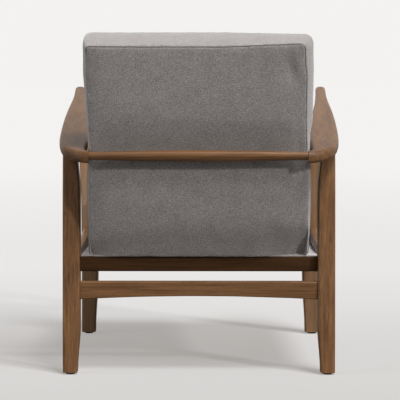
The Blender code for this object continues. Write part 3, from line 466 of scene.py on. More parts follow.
class CHAIR_OT_wooden_frame(bpy.types.Operator):
    """Dress the legs, arms, rails and stretcher in walnut with softened arrises"""

    bl_idname = "chair.wooden_frame"
    bl_label = "Wooden Frame"
    # The rear seat rail is darkened as painted shade, where the pad above shades it; the arms are made darker
    # than the rest; the front legs are lightened as painted light
    darker = {"rear_seat_rail": 0.78, "arm_left": 0.32, "arm_right": 0.24}
    painted_light = {"front_leg_left": 0.42, "front_leg_right": 0.16}
    # The arrises take a lighter copy of each board's walnut: a painted highlight along the edges
    arris_highlight = 0.10

    def execute(self, context):
        groups = ((LEGS, GRAIN_UP), (ARMS, GRAIN_ALONG), (SIDE_RAILS, GRAIN_ALONG),
                  (ACROSS_RAILS, GRAIN_ACROSS))
        boards = [(name, turn) for names, turn in groups for name in names]
        for count, (name, turn) in enumerate(boards, 1):
            offset = (0.37 * count, 0.53 * count, 0.71 * count)
            darker, painted_light = self.darker.get(name, 0.0), self.painted_light.get(name, 0.0)
            face = walnut(f"walnut_{name}", turn, offset, lighter=painted_light, darker=darker)
            # The arris copy is lighter still: a painted highlight along the edges
            edge = walnut(f"walnut_arris_{name}", turn, offset, lighter=painted_light + self.arris_highlight, darker=darker)
            piece = softened(name, context.scene.chair_wood.arris)
            settle(piece, f"walnut_{name}", name, slot="walnut", finishes=[face, edge])
        return {"FINISHED"}


# Woven upholstery


# Colour of the seams' dark line: part thread, part painted shade in the groove
SEAM_SHADE = (0.030, 0.026, 0.024)


def weave(name, pale, dark, pitch, sheen, mottle=1.0, depth=0.00035):
    """Plain weave of heathered yarns, laid by the piece's own weave map, darker in the seams with thread and
    painted shade, and with painted shade between the threads.
    """
    made, tree, shader = new_material(name, 0.88, sheen=sheen, specular=0.25)
    place = weave_place(tree)
    split = add_node(tree, "ShaderNodeSeparateXYZ", {0: place})
    across = maths(tree, "DIVIDE", split.outputs[0], pitch)
    along = maths(tree, "DIVIDE", split.outputs[1], pitch)
    waver = noise_value(tree, place, 90)
    across = total(tree, across, times(tree, waver, 0.9))
    along = total(tree, along, times(tree, waver, -0.9))
    column = maths(tree, "FLOOR", across)
    row = maths(tree, "FLOOR", along)
    over = maths(tree, "FLOORED_MODULO", total(tree, column, row), 2.0)

    def thread(count, count_scale, run, shift):
        """The tone of each yarn, which changes little along its run."""
        spot = {0: times(tree, count, count_scale), 1: times(tree, run, 0.21), 2: shift}
        spot = add_node(tree, "ShaderNodeCombineXYZ", spot).outputs[0]
        return noise_value(tree, spot, 1.0, roughness=0.65)

    def upper(warp, weft):
        """Each thread lies over the next and dips under the one after it."""
        return add_node(tree, "ShaderNodeMix", {0: over, 2: warp, 3: weft}, data_type="FLOAT").outputs[0]

    def roundness(run):
        return maths(tree, "ABSOLUTE", maths(tree, "SINE", times(tree, run, math.pi)))

    yarn = upper(thread(column, 7.31, along, 3.0), thread(row, 5.17, across, 9.0))
    patches = noise_value(tree, place, 360, 3, 0, 0.6)
    broad = noise_value(tree, place, 24)
    tone = total(
        tree, remap(tree, yarn, 0.30, 0.70, -0.26, 0.26),
        times(tree, remap(tree, patches, 0.3, 0.7, -0.30, 0.30), mottle),
        remap(tree, broad, 0.3, 0.7, 0.43, 0.53))
    colour = mix_colours(tree, remap(tree, tone, 0.0, 1.0), dark, pale)
    height = upper(roundness(across), roundness(along))
    # The gaps between threads are darkened: painted shade where the yarns dip
    gap = remap(tree, height, 0.0, 0.45, 0.55, 0.0)
    colour = mix_colours(tree, gap, colour, tuple(0.45 * part for part in dark))
    # The seams darken: part thread, part painted shade in the groove
    seam = add_node(tree, "ShaderNodeAttribute", attribute_name="seam").outputs["Fac"]
    colour = mix_colours(tree, remap(tree, seam, 0.18, 0.62, 0.0, 0.96), colour, SEAM_SHADE)
    fuzz = noise_value(tree, place, 2400)
    dress(tree, shader, colour, total(tree, height, times(tree, fuzz, 0.5)), depth, 0.8)
    return made


def upholstery():
    finish = bpy.context.scene.chair_fabric
    return bpy.data.materials.get("grey_upholstery") or weave(
        "grey_upholstery", tuple(finish.pale), tuple(finish.dark), finish.pitch, sheen=0.42)


# Boxed cushions


def fine_lines(low, high, step):
    """Grid lines about a step apart, with a close pair inside each seam."""
    first, second = 0.0028, 0.0065
    inner_low, inner_high = low + second, high - second
    count = max(2, round((inner_high - inner_low) / step))
    middle = [inner_low + (inner_high - inner_low) * i / count for i in range(count + 1)]
    return [low, low + first, *middle, high - first, high]


def gridded_block(lines):
    """A cube cut by three rounds of subdivision, whose vertices then stand on the given lines.
    It returns the piece and, for each vertex, its place on the lines and whether it is on the
    low and on the high outer face in each direction."""
    piece = add_primitive("cube", size=2.0)
    edit(piece)
    bpy.ops.mesh.select_mode(type="EDGE")
    for axis in range(3):
        mesh = bmesh.from_edit_mesh(piece.data)
        for edge in mesh.edges:
            step = edge.verts[1].co - edge.verts[0].co
            edge.select_set(abs(step[axis]) > 0.99 * step.length)
        bmesh.update_edit_mesh(piece.data)
        bpy.ops.mesh.subdivide(number_cuts=len(lines[axis]) - 2)
    leave_edit()
    unit = coordinates(piece)
    places = np.empty_like(unit)
    for axis in range(3):
        index = np.rint((unit[:, axis] + 1) / 2 * (len(lines[axis]) - 1)).astype(int)
        places[:, axis] = np.asarray(lines[axis])[index]
    low, high = unit < -0.9999, unit > 0.9999
    lay_weave(piece, places, low | high)
    return piece, places, low, high


def lay_weave(piece, places, sides):
    """A weave map in metres, laid on each panel by the two directions that it spans."""
    mesh = piece.data
    for layer in list(mesh.uv_layers):
        mesh.uv_layers.remove(layer)
    layer = mesh.uv_layers.new(name="weave")
    spans = ((1, 2), (0, 2), (0, 1))
    panels_apart = 1.3
    flat = np.zeros((len(mesh.loops), 2), np.float32)
    for face in mesh.polygons:
        corner = list(face.vertices)
        axis = int(np.argmax(sides[corner].all(axis=0)))
        one, two = spans[axis]
        for loop, vertex in zip(face.loop_indices, corner):
            flat[loop] = (places[vertex, one] + panels_apart * axis, places[vertex, two])
    layer.data.foreach_set("uv", flat.ravel())


def panel_pillow(u, v, half_u, half_v):
    """1 over most of a panel and 0 at its seams."""
    return np.clip(1 - np.abs(u / half_u) ** 4, 0, 1) * np.clip(1 - np.abs(v / half_v) ** 4, 0, 1)


def rounded_plan(u, v, half_u, half_v, radius):
    """Moves the points of a square-cornered plan onto one with round corners."""
    beyond_u = np.clip(np.abs(u) - (half_u - radius), 0, None) / radius
    beyond_v = np.clip(np.abs(v) - (half_v - radius), 0, None) / radius
    both = (beyond_u > 0) & (beyond_v > 0)
    new_u = half_u - radius + radius * beyond_u * np.sqrt(1 - beyond_v**2 / 2)
    new_v = half_v - radius + radius * beyond_v * np.sqrt(1 - beyond_u**2 / 2)
    return np.where(both, np.copysign(new_u, u), u), np.where(both, np.copysign(new_v, v), v)


def mark_seams(piece, places, sides, half_u, half_v, thick, tight=False):
    """Marks the seams, faintly where the cover is pulled tight, and the cloth beside them. The seam mark sets
    how far a seam is drawn in and how dark its line is, part thread and part painted shade.
    """
    u, v, w = places.T
    seams = sides[:, 2] & (sides[:, 0] | sides[:, 1])
    edge = np.minimum(half_u - np.abs(u), half_v - np.abs(v))
    beside = np.where(sides[:, 2], edge, np.minimum(w, thick - w))
    write_attribute(piece, "seam", np.where(tight, 0.1, 1.0) * seams)
    write_attribute(piece, "beside", np.exp(-((beside / 0.012) ** 2)))
    return seams


def puff(piece, held, caps, pressure=4.0, frames=20):
    """Fills a cushion with air by cloth simulation, held where the group says, and lets each
    point move only as far as its cap."""
    start = coordinates(piece)
    group = piece.vertex_groups.new(name="held")
    for weight in np.unique(np.round(held, 2)):
        if weight > 0:
            group.add([int(i) for i in np.flatnonzero(np.round(held, 2) == weight)], float(weight), "REPLACE")
    cloth = piece.modifiers.new("Cloth", "CLOTH")
    for key, value in (
            ("quality", 6), ("mass", 0.35), ("tension_stiffness", 18), ("compression_stiffness", 12),
            ("shear_stiffness", 6), ("bending_stiffness", 0.6), ("tension_damping", 8),
            ("air_damping", 2), ("use_pressure", True), ("uniform_pressure_force", pressure),
            ("vertex_group_mass", "held"), ("pin_stiffness", 2)):
        setattr(cloth.settings, key, value)
    cloth.settings.effector_weights.gravity = 0
    cloth.collision_settings.use_collision = False
    cloth.point_cache.frame_end = frames
    scene = bpy.context.scene
    for number in range(1, frames + 1):
        scene.frame_set(number)
    pick(piece)
    bpy.ops.object.modifier_apply(modifier=cloth.name)
    scene.frame_set(1)
    piece.vertex_groups.remove(piece.vertex_groups["held"])
    moved = coordinates(piece) - start
    length = np.linalg.norm(moved, axis=1)
    caps = np.maximum(caps, 1e-6)
    short = caps * np.tanh(length / caps)
    set_coordinates(piece, start + moved * (short / np.maximum(length, 1e-9))[:, None])


def wrinkle(points, facing, strength, scale, seed):
    """Small soft creases: noise along each point's normal."""
    moved = points.copy()
    for i in np.flatnonzero(strength > 1e-6):
        place = Vector(points[i] * scale) + Vector((seed, seed, seed))
        moved[i] += facing[i] * strength[i] * noise.noise(place)
    return moved


def sew(piece, depth, pucker):
    """Draws the seams in, smooths the cushion once and puckers the cloth beside its seams."""
    seam = read_attribute(piece, "seam")
    inward = -normals(piece)
    set_coordinates(piece, coordinates(piece) + inward * (seam * depth)[:, None])
    apply(piece, "SUBSURF", levels=1, render_levels=1, uv_smooth="NONE")
    near = read_attribute(piece, "beside")
    points, facing = coordinates(piece), normals(piece)
    strength = pucker * np.clip(near, 0, 1) * (1 - np.clip(read_attribute(piece, "seam"), 0, 1))
    set_coordinates(piece, wrinkle(points, facing, strength, scale=62.0, seed=4.2))
    pick(piece)
    bpy.ops.object.shade_smooth()


# Back pad


SOFT_GAP = 0.0005
# Height of the cross rail up the pad's rear face
RAIL_UP = 0.272
BUTTON_HEIGHT = 0.008


def height_profile(name):
    """The lines across the chair that a sheet's points stand on, and its upper side at each."""
    points = coordinates(nodes[name])
    ys = np.unique(np.round(points[:, 1], 4))
    return ys, np.array([points[np.abs(points[:, 1] - y) < NEAR, 2].max() for y in ys])


DECK_Y, DECK_TOP = height_profile("deck_cloth")


def deck_top(y):
    return np.interp(y, DECK_Y, DECK_TOP)


def pad_axes():
    """The pad's rear foot, and its directions up the rear face and forward from it."""
    shape = bpy.context.scene.chair_pad
    up = np.array([0, math.sin(shape.recline), math.cos(shape.recline)])
    forward = np.array([0, -math.cos(shape.recline), math.sin(shape.recline)])
    return np.array([0, FEET_Y + shape.behind, shape.foot]), up, forward


def from_pad(u, s, w):
    """A place in the pad's own directions: across, up the rear face, and forward from it."""
    foot, up, forward = pad_axes()
    place = foot + np.multiply.outer(s, up) + np.multiply.outer(w, forward)
    place[..., 0] += u
    return place


def into_pad(points):
    foot, up, forward = pad_axes()
    away = points - foot
    return away[..., 0], away @ up, away @ forward


def pad_drop(w):
    """How far the pad's lower edge slides down to lie on the deck."""
    drop = np.zeros_like(w)
    for _ in range(14):
        foot = from_pad(np.zeros_like(w), -drop, w)
        drop = drop + foot[:, 2] - deck_top(foot[:, 1]) - SOFT_GAP
    return drop


def button_heads():
    """The middle of each button's underside, in the pad's directions, and its radius."""
    heads = []
    for name in BUTTONS:
        u, s, w = into_pad(coordinates(nodes[name]))
        base = w.max() - BUTTON_HEIGHT
        head = w > base - NEAR
        radius = (u[head].max() - u[head].min()) / 2
        heads.append((u[head].mean(), s[head].mean(), base, radius))
    return heads


class CHAIR_OT_back_pad(bpy.types.Operator):
    """Make the boxed back pad, tufted at its buttons and sewn along its seams"""

    bl_idname = "chair.back_pad"
    bl_label = "Back Pad"

    def execute(self, context):
        shape = context.scene.chair_pad
        half_u, half_s, thick = shape.width / 2, shape.height / 2, shape.thickness
        lines = [fine_lines(-half_u, half_u, 0.0072), fine_lines(-half_s, half_s, 0.0072),
                 fine_lines(0.0, thick, 0.0080)]
        piece, places, low, high = gridded_block(lines)
        u, v, w = places.T
        sides, (rear, front), (foot, top) = low | high, (low[:, 2], high[:, 2]), (low[:, 1], high[:, 1])
        new_u, s = self.outline(shape, u, v, w, sides, top)
        front_w, pull = self.front_face(shape, u, v, new_u, s)
        new_w = np.where(rear, self.rear_face(shape, u, v, s), w)
        new_w = np.where(front, front_w, new_w)
        set_coordinates(piece, from_pad(self.draw_in(shape, u, s, w, new_u), s, new_w))
        # Where the cover is pulled tight the seams are drawn in less and their dark line, part thread and
        # part painted shade, is faint: along the foot, up the sitter's left and up the sitter's right as far
        # as the cross rail
        tight = foot | (sides[:, 0] & (((u > 0) & (s < 0.52)) | (s < 0.27)))
        seams = mark_seams(piece, places, sides, half_u, half_s, thick, tight & (w < 0.001))
        held = np.where(seams, 0.6, 0.0)
        held[(front & (pull > 0.93)) | foot | (rear & (np.abs(s - RAIL_UP) < 0.02))] = 1.0
        caps = np.where(front, 0.007, 0.0022)
        caps[rear] = 0.0015
        caps[(sides[:, 0] & (s < 0.34)) | (front & (s < 0.16))] = 0.0003
        caps[foot] = 0.0
        puff(piece, held, caps)
        sew(piece, depth=0.0030, pucker=0.0013)
        settle(piece, "back_pad_cover", "back_pad", slot="upholstery", finishes=[upholstery()])
        return {"FINISHED"}

    def outline(self, shape, u, v, w, sides, top):
        """Widens the sides, shapes the top edge and lays the foot on the deck. It returns each
        point's place across the pad and up its rear face."""
        half_u, half_s = shape.width / 2, shape.height / 2
        # The upper corner at the sitter's right is the roundest
        corner = shape.corner * np.where((v > 0) & (u < 0), 0.7, 0.35)
        new_u, new_v = rounded_plan(u, v, half_u, half_s, corner)
        s = new_v + half_s
        bulge = 1 - (2 * w / shape.thickness - 1) ** 2
        below = 0.0052 + 0.0045 * fall(s, 0.250, 0.080)
        left = 0.0010 + 0.0042 * rise(s, 0.285, 0.050) - 0.0028 * rise(s, 0.440, 0.070)
        right = 0.0037 - 0.0020 * rise(s, 0.310, 0.060)
        wider = np.where(s < RAIL_UP, below, np.where(u > 0, left, right))
        new_u = new_u * (1 + wider / half_u)
        left = 0.0018 * rise(s, 0.330, 0.100) + 0.0030 * rise(s, 0.420, 0.060)
        right = 0.0048 * rise(s, 0.300, 0.050)
        rounder = (0.003 + np.where(u > 0, left, right)) * bulge
        new_u = np.where(sides[:, 0], new_u + np.copysign(rounder, u), new_u)
        # The top edge lies lower and flatter toward the sitter's right
        high = rise(s, 0.38, 0.15)
        lower = smooth_step(-0.1 - 1.1 * u / half_u) * high
        s = s + lower * (0.007 - 0.010 * w / shape.thickness) + 0.003 * high * w / shape.thickness
        s = np.where(top, s + (0.0095 - 0.005 * lower) * bulge, s)
        return new_u, s - pad_drop(w) * (1 - s / shape.height)

    def rear_face(self, shape, u, v, s):
        """How far the rear face lies forward of its seams."""
        half_u, half_s = shape.width / 2, shape.height / 2
        # It bulges below and above the cross rail and turns under toward the deck
        belly = shape.belly * rise(s, 0.0, 0.105) * fall(s, 0.262, 0.090)
        belly += 0.55 * shape.belly * rise(s, 0.280, 0.085) * fall(s, 0.54, 0.19)
        belly = belly * np.clip(1 - np.abs(u / half_u) ** 8, 0, 1)
        swell = 0.004 * panel_pillow(u, v, half_u, half_s) + belly
        # The cover is creased beside the upper corner at the sitter's right
        crease = np.exp(-(((u + 0.232) / 0.013) ** 2 + ((s - 0.480) / 0.034) ** 2))
        crease += 0.4 * np.exp(-((u + 0.250) / 0.010) ** 2) * fall(s, 0.46, 0.12)
        # Its lower corners are tucked in, more so at the sitter's right
        tuck = 0.011 * fall(s, 0.060, 0.060) * rise(u / half_u, 0.74, 0.26)
        tuck += 0.021 * fall(s, 0.105, 0.105) * rise(-u / half_u, 0.55, 0.45)
        return 0.0048 * crease + tuck - swell

    def front_face(self, shape, u, v, new_u, s):
        """How far the front face lies forward of the rear seams, and how much a button pulls it in."""
        crown = 0.018 * panel_pillow(u, v, shape.width / 2, shape.height / 2)
        pull, rays = np.zeros_like(u), np.zeros_like(u)
        for number, (head_u, head_s, _, _) in enumerate(button_heads()):
            away = np.hypot(new_u - head_u, s - head_s)
            outside = np.clip(away - 0.011, 0, None)
            dimple = 0.55 * np.exp(-((outside / 0.022) ** 2)) + 0.45 * np.exp(-((outside / 0.050) ** 2))
            pull = np.maximum(pull, dimple)
            # Small folds run out from the button
            turn = np.arctan2(s - head_s, new_u - head_u)
            ray = np.cos(7 * turn + 1.9 * number) + 0.6 * np.cos(4 * turn + 3.1 * number)
            rays += ray * rise(outside, 0.0, 0.008) * np.exp(-outside / 0.022)
        return shape.thickness + crown * (1 - pull) - shape.tuft * pull + 0.0013 * rays, pull

    def draw_in(self, shape, u, s, w, new_u):
        """Draws the rear seams in, so that the borders show beside them, tapers the foot at the
        sitter's right and turns the upper part a little toward that side."""
        half_u, through = shape.width / 2, w / shape.thickness
        rim = np.where(u > 0, 0.009 - 0.005 * rise(s, 0.34, 0.18), -0.009)
        new_u = new_u - rim * rise(np.abs(u) / half_u, 0.5, 0.5) * (1 - through) ** 2
        new_u = new_u + np.where(u < 0, 0.003, 0.0) * fall(s, 0.065, 0.065) * np.abs(u) / half_u
        right = rise(-u / half_u, 0.2, 1.0)
        new_u = new_u - 0.006 * rise(s, 0.290, 0.060) * right * through
        inward = 0.0030 * rise(s, 0.285, 0.030) + 0.0060 * rise(s, 0.460, 0.060)
        return new_u + inward * right * (1 - through)


# Seat cushion


class CHAIR_OT_seat_cushion(bpy.types.Operator):
    """Make the loose seat cushion that lies on the sagging deck"""

    bl_idname = "chair.seat_cushion"
    bl_label = "Seat Cushion"
    # Height of the block that is stretched from the deck to the top
    tall = 0.12
    side_bulge, front_bulge, waist = 0.007, 0.007, 0.003

    def execute(self, context):
        shape = context.scene.chair_seat
        half_u = shape.width / 2
        front_y, rear_y = FEET_Y - shape.front, FEET_Y + shape.rear
        half_v = (rear_y - front_y) / 2
        middle = (rear_y + front_y) / 2
        lines = [fine_lines(-half_u, half_u, 0.0080), fine_lines(-half_v, half_v, 0.0080),
                 fine_lines(0.0, self.tall, 0.0085)]
        piece, places, low, high = gridded_block(lines)
        u, v, w = places.T
        sides, (under, over), (front, rear) = low | high, (low[:, 2], high[:, 2]), (low[:, 1], high[:, 1])
        share = w / self.tall
        new_u, new_v = rounded_plan(u, v, half_u, half_v, shape.corner)
        bulge = 1 - (2 * share - 1) ** 2
        waist = self.waist * np.clip(1 - (v / half_v) ** 2, 0, 1)
        new_u = np.where(sides[:, 0], new_u + np.copysign(self.side_bulge * bulge - waist, u), new_u)
        new_v = np.where(front, new_v - self.front_bulge * bulge, new_v)
        y = middle + new_v
        bottom = deck_top(y) + SOFT_GAP + 0.0003
        top = shape.front_top - shape.slope * (y - front_y)
        top = top + np.where(over, shape.crown * panel_pillow(u, v, half_u, half_v), 0.0)
        z = bottom + share * (top - bottom)
        # The rear side leans back with the pad
        back = (new_v + half_v) / (2 * half_v)
        y = y + back * (z - bottom) * math.tan(context.scene.chair_pad.recline)
        set_coordinates(piece, np.stack([new_u, y, z], axis=1))
        seams = mark_seams(piece, places, sides, half_u, half_v, self.tall)
        held = np.where(seams, 0.6, 0.0)
        held[under | rear] = 1.0
        caps = np.where(over, 0.006, 0.003)
        caps[under | rear] = 0.0
        caps[over & (y > 0.05)] = 0.001
        puff(piece, held, caps)
        sew(piece, depth=0.0024, pucker=0.0013)
        settle(piece, "seat_cushion_cover", "seat_cushion", slot="upholstery", finishes=[upholstery()])
        return {"FINISHED"}


# Buttons


class CHAIR_OT_buttons(bpy.types.Operator):
    """Make one covered button with its twine and set six copies into the pad"""

    bl_idname = "chair.buttons"
    bl_label = "Buttons"
    dome, underside = 0.0062, 0.0018
    pleats, pleat_depth = 14, 0.022
    twine_radius, twine_length = 0.0012, 0.060

    def execute(self, context):
        heads = button_heads()
        pattern = self.covered_button(heads[0][3])
        _, up, forward = pad_axes()
        turn = Matrix(((1, up[0], forward[0], 0), (0, up[1], forward[1], 0),
                       (0, up[2], forward[2], 0), (0, 0, 0, 1)))
        finish = upholstery()
        for name, (u, s, w, _) in zip(BUTTONS, heads):
            low = into_pad(coordinates(nodes[name]))[2].min()
            place = Vector(from_pad(np.float64(u), np.float64(s), np.float64(w)))
            mesh = pattern.data.copy()
            piece = bpy.data.objects.new(name, mesh)
            context.scene.collection.objects.link(piece)
            points = coordinates(piece)
            twine = points[:, 2] < -0.0005
            points[twine, 2] *= (w - low) / -points[:, 2].min()
            set_coordinates(piece, points)
            mesh.transform(Matrix.Translation(place) @ turn)
            settle(piece, f"covered_{name}", name, slot="upholstery", finishes=[finish])
        bpy.data.objects.remove(pattern)
        return {"FINISHED"}

    def covered_button(self, radius):
        """A domed button, its cloth gathered over the rim, with the twine behind it."""
        dome = add_primitive("uv_sphere", segments=48, ring_count=24, radius=radius)
        x, y, z = coordinates(dome).T
        height = np.where(z > 0, z * self.dome / radius, z * self.underside / radius)
        out = np.hypot(x, y) / radius
        pleat = 0.5 + 0.5 * np.cos(np.arctan2(y, x) * self.pleats)
        gather = 1 - self.pleat_depth * pleat * rise(out, 0.72, 0.28)
        set_coordinates(dome, np.stack([x * gather, y * gather, height + self.underside], axis=1))
        pick(dome)
        bpy.ops.object.shade_smooth()
        lay_flat(dome, coordinates(dome)[:, :2] + 0.5)
        twine = add_primitive(
            "cylinder", vertices=10, radius=self.twine_radius, depth=self.twine_length,
            location=(0, 0, -self.twine_length / 2))
        bpy.ops.object.transform_apply(location=True, rotation=False, scale=False)
        twine.data.uv_layers[0].name = "weave"
        pick(dome)
        twine.select_set(True)
        bpy.ops.object.join()
        write_attribute(dome, "seam", np.zeros(len(dome.data.vertices)))
        return dome


# Deck


def laid_strip(name, ys, halves, tops, columns, centre=0.0):
    """A grid laid along a profile, each row as wide as the profile says."""
    piece = add_primitive("grid", x_subdivisions=columns, y_subdivisions=len(ys) - 1, size=2.0)
    piece.name = name
    unit = coordinates(piece)
    row = np.rint((unit[:, 1] + 1) / 2 * (len(ys) - 1)).astype(int)
    x = centre + unit[:, 0] * halves[row]
    y, z = ys[row], tops[row]
    lay_flat(piece, np.stack([x, y], axis=1))
    return piece, unit, x, y, z


def webbing_finish():
    """Black ribbed elastic webbing, a little dusty."""
    made, tree, shader = new_material("black_webbing", 0.62, sheen=0.1, specular=0.35)
    place = weave_place(tree)
    split = add_node(tree, "ShaderNodeSeparateXYZ", {0: place})
    ribs = waves(tree, split.outputs[0], 0.0031)
    picks = waves(tree, split.outputs[1], 0.0014)
    height = total(tree, ribs, times(tree, picks, 0.4))
    dust = noise_value(tree, place, 120, 3)
    # The troughs between ribs are darker and the rib tops lighter: painted shade
    colour = mix_colours(tree, remap(tree, height, -1.2, 1.2), (0.012, 0.011, 0.010), (0.060, 0.056, 0.052))
    colour = mix_colours(tree, remap(tree, dust, 0.5, 0.8, 0.0, 0.25), colour, (0.12, 0.11, 0.10))
    dress(tree, shader, colour, height, 0.0003, 0.8)
    return made


class CHAIR_OT_deck(bpy.types.Operator):
    """Make the elastic straps and the light cloth that carry the seat cushion"""

    bl_idname = "chair.deck"
    bl_label = "Seat Deck"
    strap_thickness, rib_depth = 0.0018, 0.00012
    cloth_thickness = 0.0012
    # From one strap's middle to the next, and from a strap's middle to where the cloth starts to sink
    strap_pitch, strap_reach = 0.1125, 0.026

    def execute(self, context):
        webbing = webbing_finish()
        for name in STRAPS:
            x = coordinates(nodes[name])[:, 0]
            centre, half = (x.max() + x.min()) / 2, (x.max() - x.min()) / 2
            knots, tops = height_profile(name)
            ys = np.unique(np.concatenate([knots, np.linspace(knots[1], knots[-2], 60)]))
            strap, unit, x, y, z = laid_strip(
                name, ys, np.full(len(ys), half), np.interp(ys, knots, tops), 16, centre)
            ribs = self.rib_depth * np.cos(unit[:, 0] * math.pi * 8) - self.rib_depth
            set_coordinates(strap, np.stack([x, y, z + ribs], axis=1))
            apply(strap, "SOLIDIFY", thickness=self.strap_thickness, offset=-1)
            smooth_by_angle(strap, 50)
            settle(strap, f"webbing_{name}", name, slot="webbing", finishes=[webbing])
        self.cloth()
        return {"FINISHED"}

    def cloth(self):
        """Light grey deck cloth, slack enough to sink a little between the straps."""
        points = coordinates(nodes["deck_cloth"])
        knots, tops = height_profile("deck_cloth")
        front_end, rear_end = knots[2], knots[-3]
        ys = np.unique(np.concatenate([knots, np.linspace(front_end, rear_end, 64)]))
        # The turned-over ends are narrower than the middle
        half = np.full(len(ys), points[np.abs(points[:, 1] - knots[5]) < NEAR, 0].max())
        half[ys < front_end - 1e-5] = np.abs(points[points[:, 1] < knots[1] + NEAR, 0]).max()
        half[ys > rear_end + 1e-5] = np.abs(points[points[:, 1] > knots[-2] - NEAR, 0]).max()
        cloth, _, x, y, z = laid_strip("deck_cloth_cover", ys, half, np.interp(ys, knots, tops), 96)
        apart = np.abs((x / self.strap_pitch + 0.5) % 1.0 - 0.5) * self.strap_pitch
        hollow = rise(apart, self.strap_reach, 0.022) * rise(y, front_end, 0.06)
        hollow = hollow * fall(y, rear_end, 0.06) * (np.abs(x) < 0.26)
        crease = np.array([noise.noise(Vector((a * 30, b * 9, 0.3))) for a, b in zip(x, y)])
        z = z - 0.0011 * hollow - 0.0002 * (1 + crease) * hollow
        set_coordinates(cloth, np.stack([x, y, z], axis=1))
        apply(cloth, "SOLIDIFY", thickness=self.cloth_thickness, offset=-1)
        smooth_by_angle(cloth, 50)
        write_attribute(cloth, "seam", np.zeros(len(cloth.data.vertices)))
        finish = weave("light_deck_cloth", (0.66, 0.635, 0.615), (0.33, 0.31, 0.30), 0.0009,
                       sheen=0.1, mottle=0.4, depth=0.00015)
        settle(cloth, "deck_cloth_cover", "deck_cloth", slot="deck_cloth", finishes=[finish])


# Small and hidden pieces


def plywood():
    """Pale unfinished plywood with its layers on edge."""
    made, tree, shader = new_material("plywood", 0.7, specular=0.3)
    place = object_place(tree)
    field = noise_value(tree, stretch(tree, place, 0.08), 60, 3, 0.6)
    fibres = noise_value(tree, stretch(tree, place, 0.03), 900)
    tone = total(tree, remap(tree, field, 0.3, 0.7, 0.0, 0.6), remap(tree, fibres, 0.3, 0.7, 0.0, 0.4))
    colour = mix_colours(tree, tone, (0.36, 0.24, 0.13), (0.58, 0.43, 0.27))
    split = add_node(tree, "ShaderNodeSeparateXYZ", {0: place})
    layers = waves(tree, split.outputs[1], 0.003)
    colour = mix_colours(tree, remap(tree, layers, 0.2, 0.5, 0.0, 0.35), colour, (0.26, 0.16, 0.08))
    dress(tree, shader, colour, fibres, 0.0002, 0.5)
    return made


def zinc():
    made, tree, shader = new_material("zinc_plated_steel", 0.38, metallic=1.0)
    cloud = noise_value(tree, object_place(tree), 900, 3)
    colour = mix_colours(tree, cloud, (0.44, 0.44, 0.46), (0.64, 0.64, 0.63))
    dress(tree, shader, colour, cloud, 0.00005, 0.6, remap(tree, cloud, 0.3, 0.7, 0.28, 0.48))
    return made


def dark_plastic():
    made, tree, shader = new_material("glide_plastic", 0.5)
    place = object_place(tree)
    grain = noise_value(tree, place, 1500)
    scuff = noise_value(tree, place, 260, 3)
    colour = mix_colours(tree, remap(tree, scuff, 0.5, 0.75), (0.024, 0.020, 0.018), (0.075, 0.066, 0.058))
    dress(tree, shader, colour, grain, 0.0001, 0.5)
    return made


class CHAIR_OT_small_parts(bpy.types.Operator):
    """Finish the glides, corner blocks, screws, pins and the board inside the pad"""

    bl_idname = "chair.small_parts"
    bl_label = "Small Parts"

    def execute(self, context):
        steel = zinc()
        block = walnut("walnut_corner_blocks", GRAIN_ACROSS, (0.3, 0.7, 0.1), darker=0.35)
        for names, arris, look, slot, finish in (
                (GLIDES, 0.0006, "dark", "glides", dark_plastic()),
                (BLOCKS, 0.0008, "walnut", "walnut", block), (SCREWS, 0.0002, "zinc", "steel", steel)):
            for name in names:
                settle(softened(name, arris), f"{look}_{name}", name, slot=slot, finishes=[finish, finish])
        for name, finish in (("back_board", plywood()), ("back_pin_left", steel), ("back_pin_right", steel)):
            nodes[name].data.materials.clear()
            nodes[name].data.materials.append(finish)
        return {"FINISHED"}


# Studio


